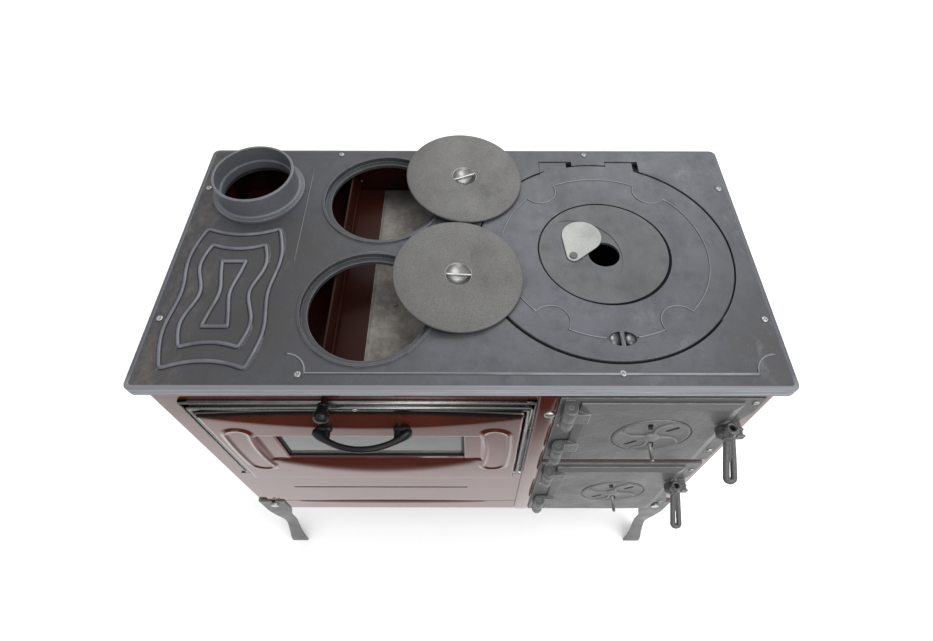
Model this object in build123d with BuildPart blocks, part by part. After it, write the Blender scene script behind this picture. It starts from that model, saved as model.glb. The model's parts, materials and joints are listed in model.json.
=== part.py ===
from build123d import *

import os
from math import atan2, cos, degrees, radians, sin

# Wood-burning cookstove. X runs to the right, Y to the back, Z up. The floor is z = 0 and the
# origin lies on it, under the middle of everything that sticks out. Three kinds of measure are used:
#   x      from the middle of the cooking plate,
#   depth  behind the front edge of the cooking plate,
#   drop   below the cooking surface.

# ---- cooking plate
TOP_HEIGHT = 850.0
PLATE_THICK = 8.0
PLATE_CORNER = 10.0
PLATE_EDGE_ROUND = 2.0
LIP_DROP = 24.0
LIP_SET_BACK = 3.0
LIP_THICK = 6.0

# ---- casing
PLATE_OVERHANG = 11.0
BODY_SET_BACK = 14.0
BODY_DROP = 590.0
FLOOR_DROP = 546.0
SHEET = 1.5
FRONT_STEP = 2.0

# ---- general clearances
SEAT_GAP = 0.3
PIN_GAP = 0.05
SLIDE_GAP = 1.0

# ---- cook holes and their loose lids
COOK_HOLE_R = 87.0
COOK_RABBET_R = 96.0
COOK_RABBET_DEEP = 6.0
COOK_BEAD_WIDE = 4.0
COOK_BEAD_RISE = 2.5
COOK_RING_WIDE = 6.0
COOK_RING_THICK = 4.0
COOK_FRONT_MARGIN = 30.0
COOK_BACK_MARGIN = 16.0
COOK_REAR_SHIFT = 4.0
LID_R = 95.0
LID_THICK = 5.0
LID_CUP_R = 20.0
LID_CUP_DEEP = 12.0
LID_BULGE_R = 26.0
LID_BULGE_DEEP = 16.0
LID_BULGE_FLAT_R = 10.0
LID_BAR_WIDE = 7.0
LID_EDGE_CHAMFER = 0.8
LID_LOW_SIDE = -44.0

# ---- flue collar
FLUE_R = 64.8
FLUE_WALL = 4.0
FLUE_HEIGHT = 40.0
FLUE_FLANGE_R = 74.0
FLUE_FLANGE_THICK = 5.0
FLUE_LEDGE_WIDE = 3.0
FLUE_LEDGE_HIGH = 14.0

# ---- big hinged cover over the fire
COVER_R = 194.0
COVER_GAP = 2.0
COVER_THICK = 10.0
COVER_SHELF_WIDE = 10.0
COVER_SHELF_THICK = 8.0
COVER_EDGE_CHAMFER = 1.5
HINGE_TAB_WIDE = 46.0
HINGE_BEHIND_COVER = 5.3
HINGE_DROP = 4.0
HINGE_TAB_GAP = 0.6
HINGE_SLOT_EXTRA = 10.0
HINGE_PIN_R = 2.0
HINGE_PIN_GRIP = 9.0
GROOVE_R = 158.0
GROOVE_WIDE = 2.0
GROOVE_DEEP = 1.2
SCALLOP_R = 27.0
SCALLOP_ANGLES = (55.0, 125.0, 235.0, 305.0)
SOCKET_LONG = 39.0
SOCKET_SHORT = 24.0
SOCKET_DEEP = 11.0
SOCKET_BAR = 6.0

# ---- lid in the middle of the big cover, and its swivel cover
INNER_R = 99.5
INNER_GAP = 1.2
INNER_THICK = 5.7
INNER_SHELF_R = 90.0
INNER_SHELF_DROP = 6.0
VENT_HOLE_R = 24.0
SWIVEL_REACH = 43.0
SWIVEL_ANGLE = 67.5
SWIVEL_R = 30.6
SWIVEL_NECK_R = 10.0
SWIVEL_THICK = 2.2
SWIVEL_RECESS_DEEP = 1.0
SWIVEL_TURN = 62.0
SWIVEL_RIVET_R = 3.0
RIVET_HEAD_R = 6.0
RIVET_HEAD_HIGH = 1.6

# ---- raised ornament
RIB_WIDE = 5.0
RIB_RISE = 1.8
BORDER_WIDE = 2.6
BORDER_RISE = 1.0
BORDER_DEPTH = 23.0
BORDER_TURN = 30.0

# ---- how the plate is shared out: margins between the raised flange, the holes' rings and the cover's seat
FLUE_EDGE_MARGIN = 28.0
HOLES_FLUE_MARGIN = 27.0
COVER_HOLES_MARGIN = 44.5
COVER_EDGE_MARGIN = 20.5
COVER_FRONT_MARGIN = 31.7
COVER_BACK_MARGIN = 28.3
FLUE_BACK_MARGIN = 29.0
ring_r = COOK_RABBET_R + COOK_RING_WIDE
seat_r = COVER_R + COVER_GAP + COVER_SHELF_THICK
PLATE_WIDTH = (
    FLUE_EDGE_MARGIN + 2 * FLUE_FLANGE_R
    + HOLES_FLUE_MARGIN + 2 * ring_r
    + COVER_HOLES_MARGIN + 2 * seat_r
    + COVER_EDGE_MARGIN
)
PLATE_DEPTH = COVER_FRONT_MARGIN + 2 * seat_r + COVER_BACK_MARGIN
FLUE_X = FLUE_EDGE_MARGIN + FLUE_FLANGE_R - PLATE_WIDTH / 2
FLUE_DEPTH = PLATE_DEPTH - FLUE_BACK_MARGIN - FLUE_FLANGE_R
FRONT_HOLE_X = FLUE_X + FLUE_FLANGE_R + HOLES_FLUE_MARGIN + ring_r
REAR_HOLE_X = FRONT_HOLE_X + COOK_REAR_SHIFT
FRONT_HOLE_DEPTH = COOK_FRONT_MARGIN + ring_r
REAR_HOLE_DEPTH = PLATE_DEPTH - COOK_BACK_MARGIN - ring_r
COOK_HOLES = {"rear": (REAR_HOLE_X, REAR_HOLE_DEPTH), "front": (FRONT_HOLE_X, FRONT_HOLE_DEPTH)}
LIDS_PARKED = {
    # x and depth of each lid's middle, and how far its bar is turned
    "rear": (REAR_HOLE_X + 132.0, REAR_HOLE_DEPTH + 33.0, 25.0),
    "front": (FRONT_HOLE_X + 129.0, FRONT_HOLE_DEPTH + 45.0, 0.0),
}
COVER_X = PLATE_WIDTH / 2 - COVER_EDGE_MARGIN - seat_r
COVER_DEPTH = COVER_FRONT_MARGIN + seat_r
HINGE_DEPTH = COVER_DEPTH + COVER_R + HINGE_BEHIND_COVER
HINGE_TABS = tuple((COVER_X + left, COVER_X + left + HINGE_TAB_WIDE) for left in (-86.5, 27.5))
SOCKET_X = COVER_X + 5.5
SOCKET_DEPTH = COVER_DEPTH - 157.7
VENT_HOLE_X = COVER_X - 0.5
VENT_HOLE_DEPTH = COVER_DEPTH - 5.7
SWIVEL_PIVOT_X = COVER_X - 47.9
SWIVEL_PIVOT_DEPTH = COVER_DEPTH - 10.4
RIB_X = FLUE_X - 7.0
BORDER_LEFT = RIB_X + 137.0
BORDER_RIGHT = PLATE_WIDTH / 2 - 48.0

# ---- faces of the casing
HALF_BODY = PLATE_WIDTH / 2 - PLATE_OVERHANG
INSIDE = HALF_BODY - SHEET
BACK_FACE = PLATE_DEPTH - BODY_SET_BACK

# ---- screws
SIDE_SCREW_IN = 4.0
REAR_SCREW_BEHIND = 2.5
side_screw_x = HALF_BODY - SIDE_SCREW_IN
rear_screw_depth = BACK_FACE + REAR_SCREW_BEHIND
PLATE_SCREWS = (
    (-215.0, rear_screw_depth),
    (209.0, rear_screw_depth),
    (-side_screw_x, 372.0),
    (side_screw_x, 372.0),
    (-side_screw_x, 110.0),
    (side_screw_x, 110.0),
    (-216.0, 21.5),
    (213.0, 23.5),
)
SCREW_HEAD_R = 5.5
SCREW_HEAD_HIGH = 3.0
SCREW_R = 2.0
SCREW_LONG = 16.0

# ---- oven
OVEN_SIDE_SPACE = 37.0
OVEN_TOP_DROP = 66.5
OVEN_BOTTOM_DROP = 366.0
OVEN_BACK_SPACE = 12.5
MOUTH_TOP_DROP = 84.0
FIRE_SIDE_WIDE = 291.0
POST_WIDE = 32.0
FIRE_LEFT = HALF_BODY - FIRE_SIDE_WIDE
POST_LEFT = FIRE_LEFT - POST_WIDE
OVEN_LEFT = OVEN_SIDE_SPACE - HALF_BODY
MOUTH_LEFT = OVEN_LEFT + 8.0
MOUTH_RIGHT = POST_LEFT - 15.0
OVEN_RIGHT = MOUTH_RIGHT + 7.0
OVEN_BACK_DEPTH = BACK_FACE - SHEET - OVEN_BACK_SPACE
TRIM_FRONT_DEPTH = 6.0
TRIM_RAIL_DROP = 58.0
TRIM_STILE = 14.0
TRIM_SCREW = (-152.0, 76.0)
TRIM_SCREW_HEAD_R = 3.5
TRIM_SCREW_HEAD_HIGH = 2.0
TRIM_SCREW_R = 1.5
POST_BOLT = (POST_LEFT + 21.0, 97.0)
POST_BOLT_HEAD_R = 6.0
POST_BOLT_HEAD_HIGH = 4.0
TRIM_BOTTOM_DROP = 352.0
SHIELD_LEFT = -145.0
SHIELD_RIGHT = OVEN_RIGHT - 6.0
SHIELD_THICK = 2.0
SHIELD_RIDGE_IN = 3.0
SHIELD_RIVET = (-107.0, 180.0)
SHIELD_RIVET_R = 4.0
RUNNER_DROPS = (160.0, 256.0)
RUNNER_WIDE = 24.0
RUNNER_THICK = 2.0
RUNNER_HIGH = 12.0
TRAY_DEPTH = 60.0
TRAY_LONG = OVEN_BACK_DEPTH - SHEET - 8.5 - TRAY_DEPTH
TRAY_HIGH = 35.0
TRAY_SIDE_GAP = 8.0
TRAY_WALL = 1.5

# ---- oven door
DOOR_GAP = 2.0
DOOR_FRONT_DEPTH = 4.0
DOOR_THICK = 6.0
DOOR_BOTTOM_DROP = 358.0
WINDOW_LEFT = MOUTH_LEFT + 92.0
WINDOW_RIGHT = MOUTH_RIGHT - 89.0
WINDOW_TOP_DROP = 166.0
WINDOW_BOTTOM_DROP = 260.0
RECESS_SIDE = 28.0
RECESS_RISE = 3.0
RECESS_DEEP = 2.5
GLASS_LAP = 9.0
GLASS_THICK = 4.0
LINER_BACK_DEPTH = 24.0
LINER_SIDE_GAP = 10.0
LINER_BOTTOM_DROP = 338.0
LOBE_WIDE = 42.0
LOBE_HIGH = 168.0
LOBE_IN = 38.0
LOBE_DROP = 220.0
LOBE_RISE = 1.5
LENS_MARGIN = 6.0
UPPER_LENS_SAG = 36.0
LOWER_LENS_SAG = 44.0
LENS_DEEP = 1.0
OVEN_PIN_DEPTH = 10.0
OVEN_PIN_DROP = 348.0
OVEN_PIN_R = 3.0
OVEN_LUG_WIDE = 14.0
OVEN_LUG_R = 7.0
HANDLE_DROP = 120.0
HANDLE_CHORD = 144.0
HANDLE_SAG = 30.0
HANDLE_END_DEPTH = -6.0
HANDLE_THICK = 8.0
HANDLE_HIGH = 13.0
STUD_APART = 104.0
STUD_R = 5.5
CLIP_WIDE = 9.0
CLIP_HIGH = 46.0
CLIP_THICK = 1.5
CLIP_SLOT = 3.0
CLIP_GAP = 2.0

# ---- draft flap between the fire side and the flue side
FLAP_X = -192.0
FLAP_DROP = 56.0
FLAP_TOP_DROP = 14.0
FLAP_THICK = 3.0
FLAP_FROM_DEPTH = BODY_SET_BACK + 10.0
FLAP_TO_DEPTH = BACK_FACE - 14.0
ROD_IN_KNOB = 10.0
ROD_R = 4.0
ROD_HOLE_GAP = 0.3
KNOB_NECK_R = 8.0
KNOB_HEAD_R = 11.0
KNOB_NECK_DEPTH = 5.0
KNOB_STEP_DEPTH = -8.0
KNOB_END_DEPTH = -22.0

# ---- fire side
POST_INSET = 3.0
POST_FOLD_THICK = 3.0
LOWER_LEFT = 18.0 - HALF_BODY
LOWER_TOP_DROP = 364.0
LOWER_BOTTOM_DROP = 536.0
LOWER_GROOVE_X = (-334.0, 5.0)
LOWER_GROOVE_DROP = 443.0
LOWER_GROOVE_HIGH = 6.0
LOWER_GROOVE_DEEP = 1.2
PARTITION_X = OVEN_RIGHT + 6.0
LUG_WIDE = 7.0
LUG_LONG = 22.0
GRATE_DROP = 286.0
GRATE_FRAME_THICK = 8.0
GRATE_THICK = 10.0
GRATE_LEDGE = 5.0
GRATE_SLOTS = 9
GRATE_SLOT_WIDE = 10.0
GRATE_RIB_WIDE = 12.0
LINER_THICK = 12.0
LINER_FRONT_DEPTH = 18.0
LINER_TOP_DROP = 70.0
RIGHT_LINER_X = HALF_BODY - 17.0
BACK_LINER_GAP = 6.5
BACK_LINER_DEPTH = BACK_FACE - SHEET - BACK_LINER_GAP - LINER_THICK
GRATE_LEFT = PARTITION_X + SHEET + LINER_THICK + 29.5
GRATE_RIGHT = RIGHT_LINER_X - 39.0
GRATE_FRONT_DEPTH = LINER_FRONT_DEPTH + 39.0
GRATE_BACK_DEPTH = BACK_LINER_DEPTH - 31.0
PAN_FRONT_DEPTH = 36.0
PAN_LONG = 374.0
PAN_HIGH = 78.0
PAN_WALL = 1.5
PAN_KNOB_R = 8.0
PAN_KNOB_LONG = 12.0

# ---- cast frames and doors on the fire side (drops of their top and bottom edges)
FRAME_THICK = 5.0
FRAME_LAP = 4.0
FRAME_LEFT = FIRE_LEFT - 2.0
FRAME_RIGHT = HALF_BODY - 11.0
FRAME_WAIST = 13.0
FIRE_WAIST = (92.0, 205.0)
ASH_WAIST = (365.0, 520.0)
FIRE_FRAME = (44.0, 281.0)
ASH_FRAME = (301.0, 583.0)
FIRE_OPENING = (74.0, 250.0)
ASH_OPENING = (333.0, 548.0)
OPENING_LEFT = FRAME_LEFT + 46.0
OPENING_RIGHT = FRAME_RIGHT - 44.0
PAN_SIDE_GAP = 6.0
FRAME_SCREWS = (
    (FRAME_RIGHT - 10.0, 57.0),
    (FRAME_RIGHT - 11.0, 237.0),
    (FRAME_LEFT + 10.0, 134.0),
    (FRAME_LEFT + 10.0, 270.0),
    (FRAME_RIGHT - 9.0, 335.0),
    (FRAME_RIGHT - 11.0, 530.0),
    (FRAME_LEFT + 10.0, 410.0),
    (FRAME_LEFT + 39.0, 573.0),
)
FRAME_SCREW_HEAD_R = 4.5
FRAME_SCREW_HEAD_HIGH = 2.5
FRAME_SCREW_R = 2.0
FIRE_DOOR = (54.0, 270.0)
ASH_DOOR = (313.0, 563.0)
CAST_DOOR_LEFT = OPENING_LEFT - 16.0
CAST_DOOR_RIGHT = OPENING_RIGHT + 18.0
CAST_DOOR_EDGE = 3.0
CAST_DOOR_FRONT_DEPTH = 1.0
CAST_DOOR_BEVEL = 12.0
DISC_X = CAST_DOOR_RIGHT - 105.0
FIRE_DISC_DROP = 157.0
ASH_DISC_DROP = 437.0
DISC_R = 58.0
DISC_POCKET_R = 61.0
DISC_POCKET_DEEP = 2.4
DISC_THICK = 3.0
DISC_SLOTS = 6
DISC_SLOT_FROM = 24.0
DISC_SLOT_TO = 48.0
DISC_SLOT_WIDE = 8.0
DISC_SLOT_START = 45.0
DISC_RIB_WIDE = 6.0
DISC_RIB_RISE = 1.6
DISC_HUB_R = 13.0
DISC_HUB_RISE = 5.0
DISC_STUD_R = 5.0
DISC_PIN_R = 2.6
DISC_PIN_X = 6.0
DISC_PIN_DOWN = 31.0
DISC_PIN_LONG = 30.0
BAFFLE_THICK = 4.0
BAFFLE_MARGIN = 8.0
BAFFLE_STUD_IN = 16.0
BAFFLE_STUD_R = 5.0

# ---- hinges of the cast doors
CAST_HINGE_X = CAST_DOOR_LEFT - 16.0
CAST_HINGE_DEPTH = -3.0
BARREL_R = 10.0
BARREL_GAP = 0.5
CAST_PIN_R = 3.0
NECK_HALF = 6.0
FRAME_BARREL = 28.0
DOOR_BARREL = 29.5
TOP_HINGE_RISE = 4.0
BOTTOM_HINGE_UP = 50.0

# ---- latches of the cast doors
LATCH_X = CAST_DOOR_RIGHT - 9.0
FIRE_LATCH_DROP = 116.0
ASH_LATCH_DROP = 377.0
LATCH_STUD_R = 5.0
LATCH_BOSS_R = 9.0
STUD_HEAD_R = 6.5
STUD_HEAD_HIGH = 1.5
HUB_R = 14.0
HUB_BACK_DEPTH = -2.3
HUB_FRONT_DEPTH = -20.0
EYE_R = 10.0
EYE_HOLE_R = 4.5
EYE_HIGH = 16.0
EYE_UP = 26.0
EYE_DEPTH = -14.0
TONGUE_REACH = 28.0
TONGUE_HIGH = 8.0
TONGUE_FRONT_DEPTH = -9.0
KEEPER_X = CAST_DOOR_RIGHT + 10.0
KEEPER_WIDE = 12.0
KEEPER_FLOOR = 11.0
KEEPER_LIP = 5.5
KEEPER_THICK = 7.0
KEEPER_LIP_THICK = 2.7
KEEPER_FRONT_DEPTH = -14.0
LOOP_LENGTH = 61.0
LOOP_OUTER = 22.0
LOOP_STRAND = 7.5
LOOP_START_DEPTH = -17.0
LOOP_START_DOWN = 8.0
LOOP_RUN = (10.0, -49.0, -35.0)
LOOP_ROUND = 2.6

# ---- legs
LEG_TOP_DROP = 538.0
LEG_THICK = 5.0
LEG_OUT_X = HALF_BODY + LEG_THICK
LEG_FRONT_DEPTH = BODY_SET_BACK - LEG_THICK
LEG_SECTIONS = (
    # drop, how far the corner leans inwards, width of each web
    (LEG_TOP_DROP, 0.0, 54.0),
    (BODY_DROP + 2.0, 0.0, 54.0),
    (655.0, 9.0, 36.0),
    (720.0, 21.0, 25.0),
    (785.0, 14.0, 28.0),
    (TOP_HEIGHT, 1.0, 38.0),
)
LEG_BOLT_IN = 32.0
LEG_BOLT_BELOW = 14.0
LEG_BOLT_R = 4.0
LEG_BOLT_HEAD_R = 8.0
LEG_BOLT_HEAD_HIGH = 5.0
LEG_SLOT_WIDE = 9.0
LEG_BOLT_LONG = 22.0

# ---- how far things stick out past the plate's front and back edges
LATCH_REACH = 76.5
LID_OVERHANG = 9.3
FRONT_Y = -(PLATE_DEPTH + LID_OVERHANG - LATCH_REACH) / 2

FRAME_DEPTH = BODY_SET_BACK - FRAME_THICK
TRIM_LEFT = MOUTH_LEFT - TRIM_STILE
TRIM_RIGHT = MOUTH_RIGHT + TRIM_STILE
DOOR_LEFT = MOUTH_LEFT + DOOR_GAP
DOOR_RIGHT = MOUTH_RIGHT - DOOR_GAP
DOOR_MID_X = (DOOR_LEFT + DOOR_RIGHT) / 2
DOOR_TOP_DROP = MOUTH_TOP_DROP + DOOR_GAP
DOOR_BACK_DEPTH = DOOR_FRONT_DEPTH + DOOR_THICK


def back(depth):
    """The y of a point this far behind the plate's front edge."""
    return FRONT_Y + depth


def down(drop):
    """The z of a point this far below the cooking surface."""
    return TOP_HEIGHT - drop


def level(drop):
    """A horizontal plane this far below the cooking surface, facing up."""
    return Plane.XY.offset(down(drop))


def upright(depth):
    """A plane facing the front, this far behind the plate's front edge; its sketches use x and z."""
    return Plane.XZ.offset(-back(depth))


def slab(x, depth, drop, mode=Mode.ADD):
    """Add or cut a straight block between two x, two depths and two drops."""
    middle = (sum(x) / 2, back(sum(depth) / 2), down(sum(drop) / 2))
    with Locations(middle):
        Box(x[1] - x[0], depth[1] - depth[0], drop[1] - drop[0], mode=mode)


def bar_along_y(x, drop, radius, depth, mode=Mode.ADD):
    """Add or cut a round bar that runs from the front to the back."""
    with Locations((x, back(sum(depth) / 2), down(drop))):
        Cylinder(radius, depth[1] - depth[0], rotation=(90, 0, 0), mode=mode)


def bar_along_x(x, depth, drop, radius, mode=Mode.ADD):
    """Add or cut a round bar that runs from left to right."""
    with Locations((sum(x) / 2, back(depth), down(drop))):
        Cylinder(radius, x[1] - x[0], rotation=(0, 90, 0), mode=mode)


def bar_upright(x, depth, drop, radius, mode=Mode.ADD):
    """Add or cut a round bar that stands upright between two drops."""
    with Locations((x, back(depth), down(sum(drop) / 2))):
        Cylinder(radius, drop[1] - drop[0], mode=mode)


def keep(part, name):
    """Label a finished piece and write it to its own file."""
    part.label = name
    export_step(part, f"parts/{name}.step")


os.makedirs("parts", exist_ok=True)

# ------------------------------------------------------------------ cooking plate
plate_middle = back(PLATE_DEPTH / 2)
RIB_LOOPS = (
    # half width at the corners, at the bulges and at the waist, back and front edge, sag of the ends
    (59.0, 72.0, 65.0, 282.0, 27.0, 12.0),
    (43.0, 51.0, 38.0, 249.0, 60.0, 8.0),
    (20.5, 15.0, 10.0, 216.0, 94.0, 0.0),
)


def rib_outline(corner, bulge, waist, back_depth, front_depth, sag, inset):
    """A four-cornered outline with bulging and waisted sides and ends that sag towards the middle."""
    back_y, front_y = back(back_depth - inset), back(front_depth + inset)
    third = (back_y - front_y) / 4
    with BuildSketch() as outline:
        with BuildLine():
            for side in (1, -1):
                x_corner, x_bulge, x_waist = (RIB_X + side * (x - inset) for x in (corner, bulge, waist))
                Spline(
                    (x_corner, back_y),
                    (x_bulge, back_y - third),
                    (x_waist, (back_y + front_y) / 2),
                    (x_bulge, front_y + third),
                    (x_corner, front_y),
                )
            ends = (RIB_X - corner + inset, RIB_X + corner - inset)
            if sag:
                ThreePointArc((ends[0], back_y), (RIB_X, back_y - sag), (ends[1], back_y))
                ThreePointArc((ends[0], front_y), (RIB_X, front_y + sag), (ends[1], front_y))
            else:
                Line((ends[0], back_y), (ends[1], back_y))
                Line((ends[0], front_y), (ends[1], front_y))
        make_face()
    return outline.sketch


with BuildPart() as top_plate:
    with BuildSketch(level(PLATE_THICK)):
        with Locations((0, plate_middle)):
            RectangleRounded(PLATE_WIDTH, PLATE_DEPTH, PLATE_CORNER)
    extrude(amount=PLATE_THICK)
    fillet(top_plate.edges().group_by(Axis.Z)[-1], PLATE_EDGE_ROUND)
    with BuildSketch(level(LIP_DROP)):
        lip_cut = 2 * LIP_SET_BACK
        inner_cut = lip_cut + 2 * LIP_THICK
        with Locations((0, plate_middle)):
            RectangleRounded(PLATE_WIDTH - lip_cut, PLATE_DEPTH - lip_cut, PLATE_CORNER)
            RectangleRounded(
                PLATE_WIDTH - inner_cut, PLATE_DEPTH - inner_cut, PLATE_CORNER / 2, mode=Mode.SUBTRACT
            )
    extrude(amount=LIP_DROP - PLATE_THICK)

    # raised beads and strengthening rings round the two cook holes
    for hole_x, hole_depth in COOK_HOLES.values():
        with BuildSketch(level(0)):
            with Locations((hole_x, back(hole_depth))):
                Circle(COOK_RABBET_R + COOK_BEAD_WIDE)
        extrude(amount=COOK_BEAD_RISE)
        with BuildSketch(level(PLATE_THICK)):
            with Locations((hole_x, back(hole_depth))):
                Circle(ring_r)
        extrude(amount=-COOK_RING_THICK)
        lid_seat = (-COOK_BEAD_RISE, COOK_RABBET_DEEP)
        bar_upright(hole_x, hole_depth, lid_seat, COOK_RABBET_R, mode=Mode.SUBTRACT)
        bar_upright(hole_x, hole_depth, (0, LIP_DROP), COOK_HOLE_R, mode=Mode.SUBTRACT)

    # seat of the big cover, with pads and pockets for its two hinge tabs
    seat_bottom = COVER_THICK + SEAT_GAP + COVER_SHELF_THICK
    rabbet_r = COVER_R + COVER_GAP
    with BuildSketch(level(PLATE_THICK)):
        with Locations((COVER_X, back(COVER_DEPTH))):
            Circle(seat_r)
    extrude(amount=PLATE_THICK - seat_bottom)
    pocket_back = HINGE_DEPTH + HINGE_DROP + HINGE_TAB_GAP
    for tab_left, tab_right in HINGE_TABS:
        slab(
            (tab_left - HINGE_PIN_GRIP, tab_right + HINGE_SLOT_EXTRA + HINGE_PIN_GRIP),
            (COVER_DEPTH + rabbet_r * 0.85, pocket_back + HINGE_TAB_GAP + LIP_THICK),
            (PLATE_THICK, seat_bottom),
        )
    bar_upright(COVER_X, COVER_DEPTH, (0, COVER_THICK + SEAT_GAP), rabbet_r, mode=Mode.SUBTRACT)
    bar_upright(COVER_X, COVER_DEPTH, (0, seat_bottom), COVER_R - COVER_SHELF_WIDE, mode=Mode.SUBTRACT)
    for tab_left, tab_right in HINGE_TABS:
        slab(
            (tab_left - HINGE_TAB_GAP, tab_right + HINGE_SLOT_EXTRA),
            (COVER_DEPTH + rabbet_r * 0.85, pocket_back),
            (0, COVER_THICK + SEAT_GAP),
            mode=Mode.SUBTRACT,
        )
        bar_along_x(
            (tab_left - HINGE_PIN_GRIP, tab_right + HINGE_SLOT_EXTRA + HINGE_PIN_GRIP),
            HINGE_DEPTH,
            HINGE_DROP,
            HINGE_PIN_R + PIN_GAP,
            mode=Mode.SUBTRACT,
        )

    # opening under the flue collar and the screw holes
    bar_upright(FLUE_X, FLUE_DEPTH, (0, PLATE_THICK), FLUE_R - FLUE_WALL, mode=Mode.SUBTRACT)
    for screw_x, screw_depth in PLATE_SCREWS:
        bar_upright(screw_x, screw_depth, (0, PLATE_THICK), SCREW_R + PIN_GAP, mode=Mode.SUBTRACT)

    # nested raised ribs in front of the flue collar
    for loop in RIB_LOOPS:
        with BuildSketch(level(0)):
            add(rib_outline(*loop, inset=0))
            add(rib_outline(*loop, inset=RIB_WIDE), mode=Mode.SUBTRACT)
        extrude(amount=RIB_RISE)

    # thin border line along the front, turning back in quarter circles at its ends
    with BuildSketch(level(0)):
        with BuildLine():
            line_y = back(BORDER_DEPTH)
            turn = BORDER_TURN
            ThreePointArc(
                (BORDER_LEFT - turn, line_y + turn),
                (BORDER_LEFT - turn * (1 - cos(radians(45))), line_y + turn * sin(radians(45))),
                (BORDER_LEFT, line_y),
            )
            Line((BORDER_LEFT, line_y), (BORDER_RIGHT, line_y))
            ThreePointArc(
                (BORDER_RIGHT, line_y),
                (BORDER_RIGHT + turn * (1 - cos(radians(45))), line_y + turn * sin(radians(45))),
                (BORDER_RIGHT + turn, line_y + turn),
            )
        trace(line_width=BORDER_WIDE)
    extrude(amount=BORDER_RISE)
    for screw_x, screw_depth in PLATE_SCREWS[-1:]:
        bar_upright(screw_x, screw_depth, (-BORDER_RISE, 0), SCREW_HEAD_R + PIN_GAP, mode=Mode.SUBTRACT)
keep(top_plate.part, "top_plate")

with BuildPart() as plate_screws:
    for screw_x, screw_depth in PLATE_SCREWS:
        bar_upright(screw_x, screw_depth, (-SCREW_HEAD_HIGH, 0), SCREW_HEAD_R)
        bar_upright(screw_x, screw_depth, (0, SCREW_LONG), SCREW_R)
    fillet(plate_screws.edges().group_by(Axis.Z)[-1], SCREW_HEAD_HIGH / 2)
keep(plate_screws.part, "plate_screws")

with BuildPart() as flue_collar:
    with BuildSketch(level(0)):
        with Locations((FLUE_X, back(FLUE_DEPTH))):
            Circle(FLUE_FLANGE_R)
    extrude(amount=FLUE_FLANGE_THICK)
    with BuildSketch(level(-FLUE_FLANGE_THICK)):
        with Locations((FLUE_X, back(FLUE_DEPTH))):
            Circle(FLUE_R)
    extrude(amount=FLUE_HEIGHT - FLUE_FLANGE_THICK)
    spigot_edges = flue_collar.edges().filter_by(GeomType.CIRCLE).filter_by(
        lambda edge: abs(edge.radius - FLUE_R) < 0.01
    )
    fillet(spigot_edges.sort_by(Axis.Z)[0], 3)
    fillet(flue_collar.edges().group_by(Axis.Z)[-1], 1)
    bore_r = FLUE_R - FLUE_WALL
    bar_upright(FLUE_X, FLUE_DEPTH, (-FLUE_HEIGHT, -FLUE_LEDGE_HIGH), bore_r, mode=Mode.SUBTRACT)
    bar_upright(
        FLUE_X, FLUE_DEPTH, (-FLUE_LEDGE_HIGH, 0), bore_r - FLUE_LEDGE_WIDE, mode=Mode.SUBTRACT
    )
keep(flue_collar.part, "flue_collar")

# ------------------------------------------------------------------ cover, inner lid, swivel cover
cover_seat = INNER_R + INNER_GAP


def scalloped_disc(disc_r, scallop_r):
    """The outline of a disc round the cover's middle, bitten by a circle at each scallop."""
    with BuildSketch() as outline:
        with Locations((COVER_X, back(COVER_DEPTH))):
            Circle(disc_r)
            for angle in SCALLOP_ANGLES:
                with Locations((GROOVE_R * cos(radians(angle)), GROOVE_R * sin(radians(angle)))):
                    Circle(scallop_r, mode=Mode.SUBTRACT)
    return outline.sketch


with BuildPart() as cooking_cover:
    with BuildSketch(level(COVER_THICK)):
        with Locations((COVER_X, back(COVER_DEPTH))):
            Circle(COVER_R)
    extrude(amount=COVER_THICK)
    chamfer(cooking_cover.edges().group_by(Axis.Z)[-1], COVER_EDGE_CHAMFER)
    # hinge tabs with full-round ends
    for tab_left, tab_right in HINGE_TABS:
        slab((tab_left, tab_right), (COVER_DEPTH + COVER_R * 0.85, HINGE_DEPTH), (0, 2 * HINGE_DROP))
        bar_along_x((tab_left, tab_right), HINGE_DEPTH, HINGE_DROP, HINGE_DROP)
        bar_along_x(
            (tab_left, tab_right), HINGE_DEPTH, HINGE_DROP, HINGE_PIN_R + PIN_GAP, mode=Mode.SUBTRACT
        )
    # socket for the lid lifter: two cups under a bar
    with BuildSketch(level(COVER_THICK)):
        with Locations((SOCKET_X, back(SOCKET_DEPTH))):
            Ellipse(SOCKET_LONG / 2 + 4, SOCKET_SHORT / 2 + 4)
    extrude(amount=-(SOCKET_DEEP + 3 - COVER_THICK))
    with BuildSketch(level(0)):
        with Locations((SOCKET_X, back(SOCKET_DEPTH))):
            Ellipse(SOCKET_LONG / 2, SOCKET_SHORT / 2)
    extrude(amount=-SOCKET_DEEP, mode=Mode.SUBTRACT)
    slab(
        (SOCKET_X - SOCKET_BAR / 2, SOCKET_X + SOCKET_BAR / 2),
        (SOCKET_DEPTH - SOCKET_SHORT / 2, SOCKET_DEPTH + SOCKET_SHORT / 2),
        (0.5, SOCKET_DEEP / 2),
    )
    # seat and opening for the inner lid
    bar_upright(COVER_X, COVER_DEPTH, (0, INNER_SHELF_DROP), cover_seat, mode=Mode.SUBTRACT)
    bar_upright(COVER_X, COVER_DEPTH, (0, COVER_THICK), INNER_SHELF_R, mode=Mode.SUBTRACT)
    # thin engraved circle with four scallops turned inwards
    with BuildSketch(level(0)):
        add(scalloped_disc(GROOVE_R + GROOVE_WIDE / 2, SCALLOP_R - GROOVE_WIDE / 2))
        add(scalloped_disc(GROOVE_R - GROOVE_WIDE / 2, SCALLOP_R + GROOVE_WIDE / 2), mode=Mode.SUBTRACT)
    extrude(amount=-GROOVE_DEEP, mode=Mode.SUBTRACT)
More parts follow.
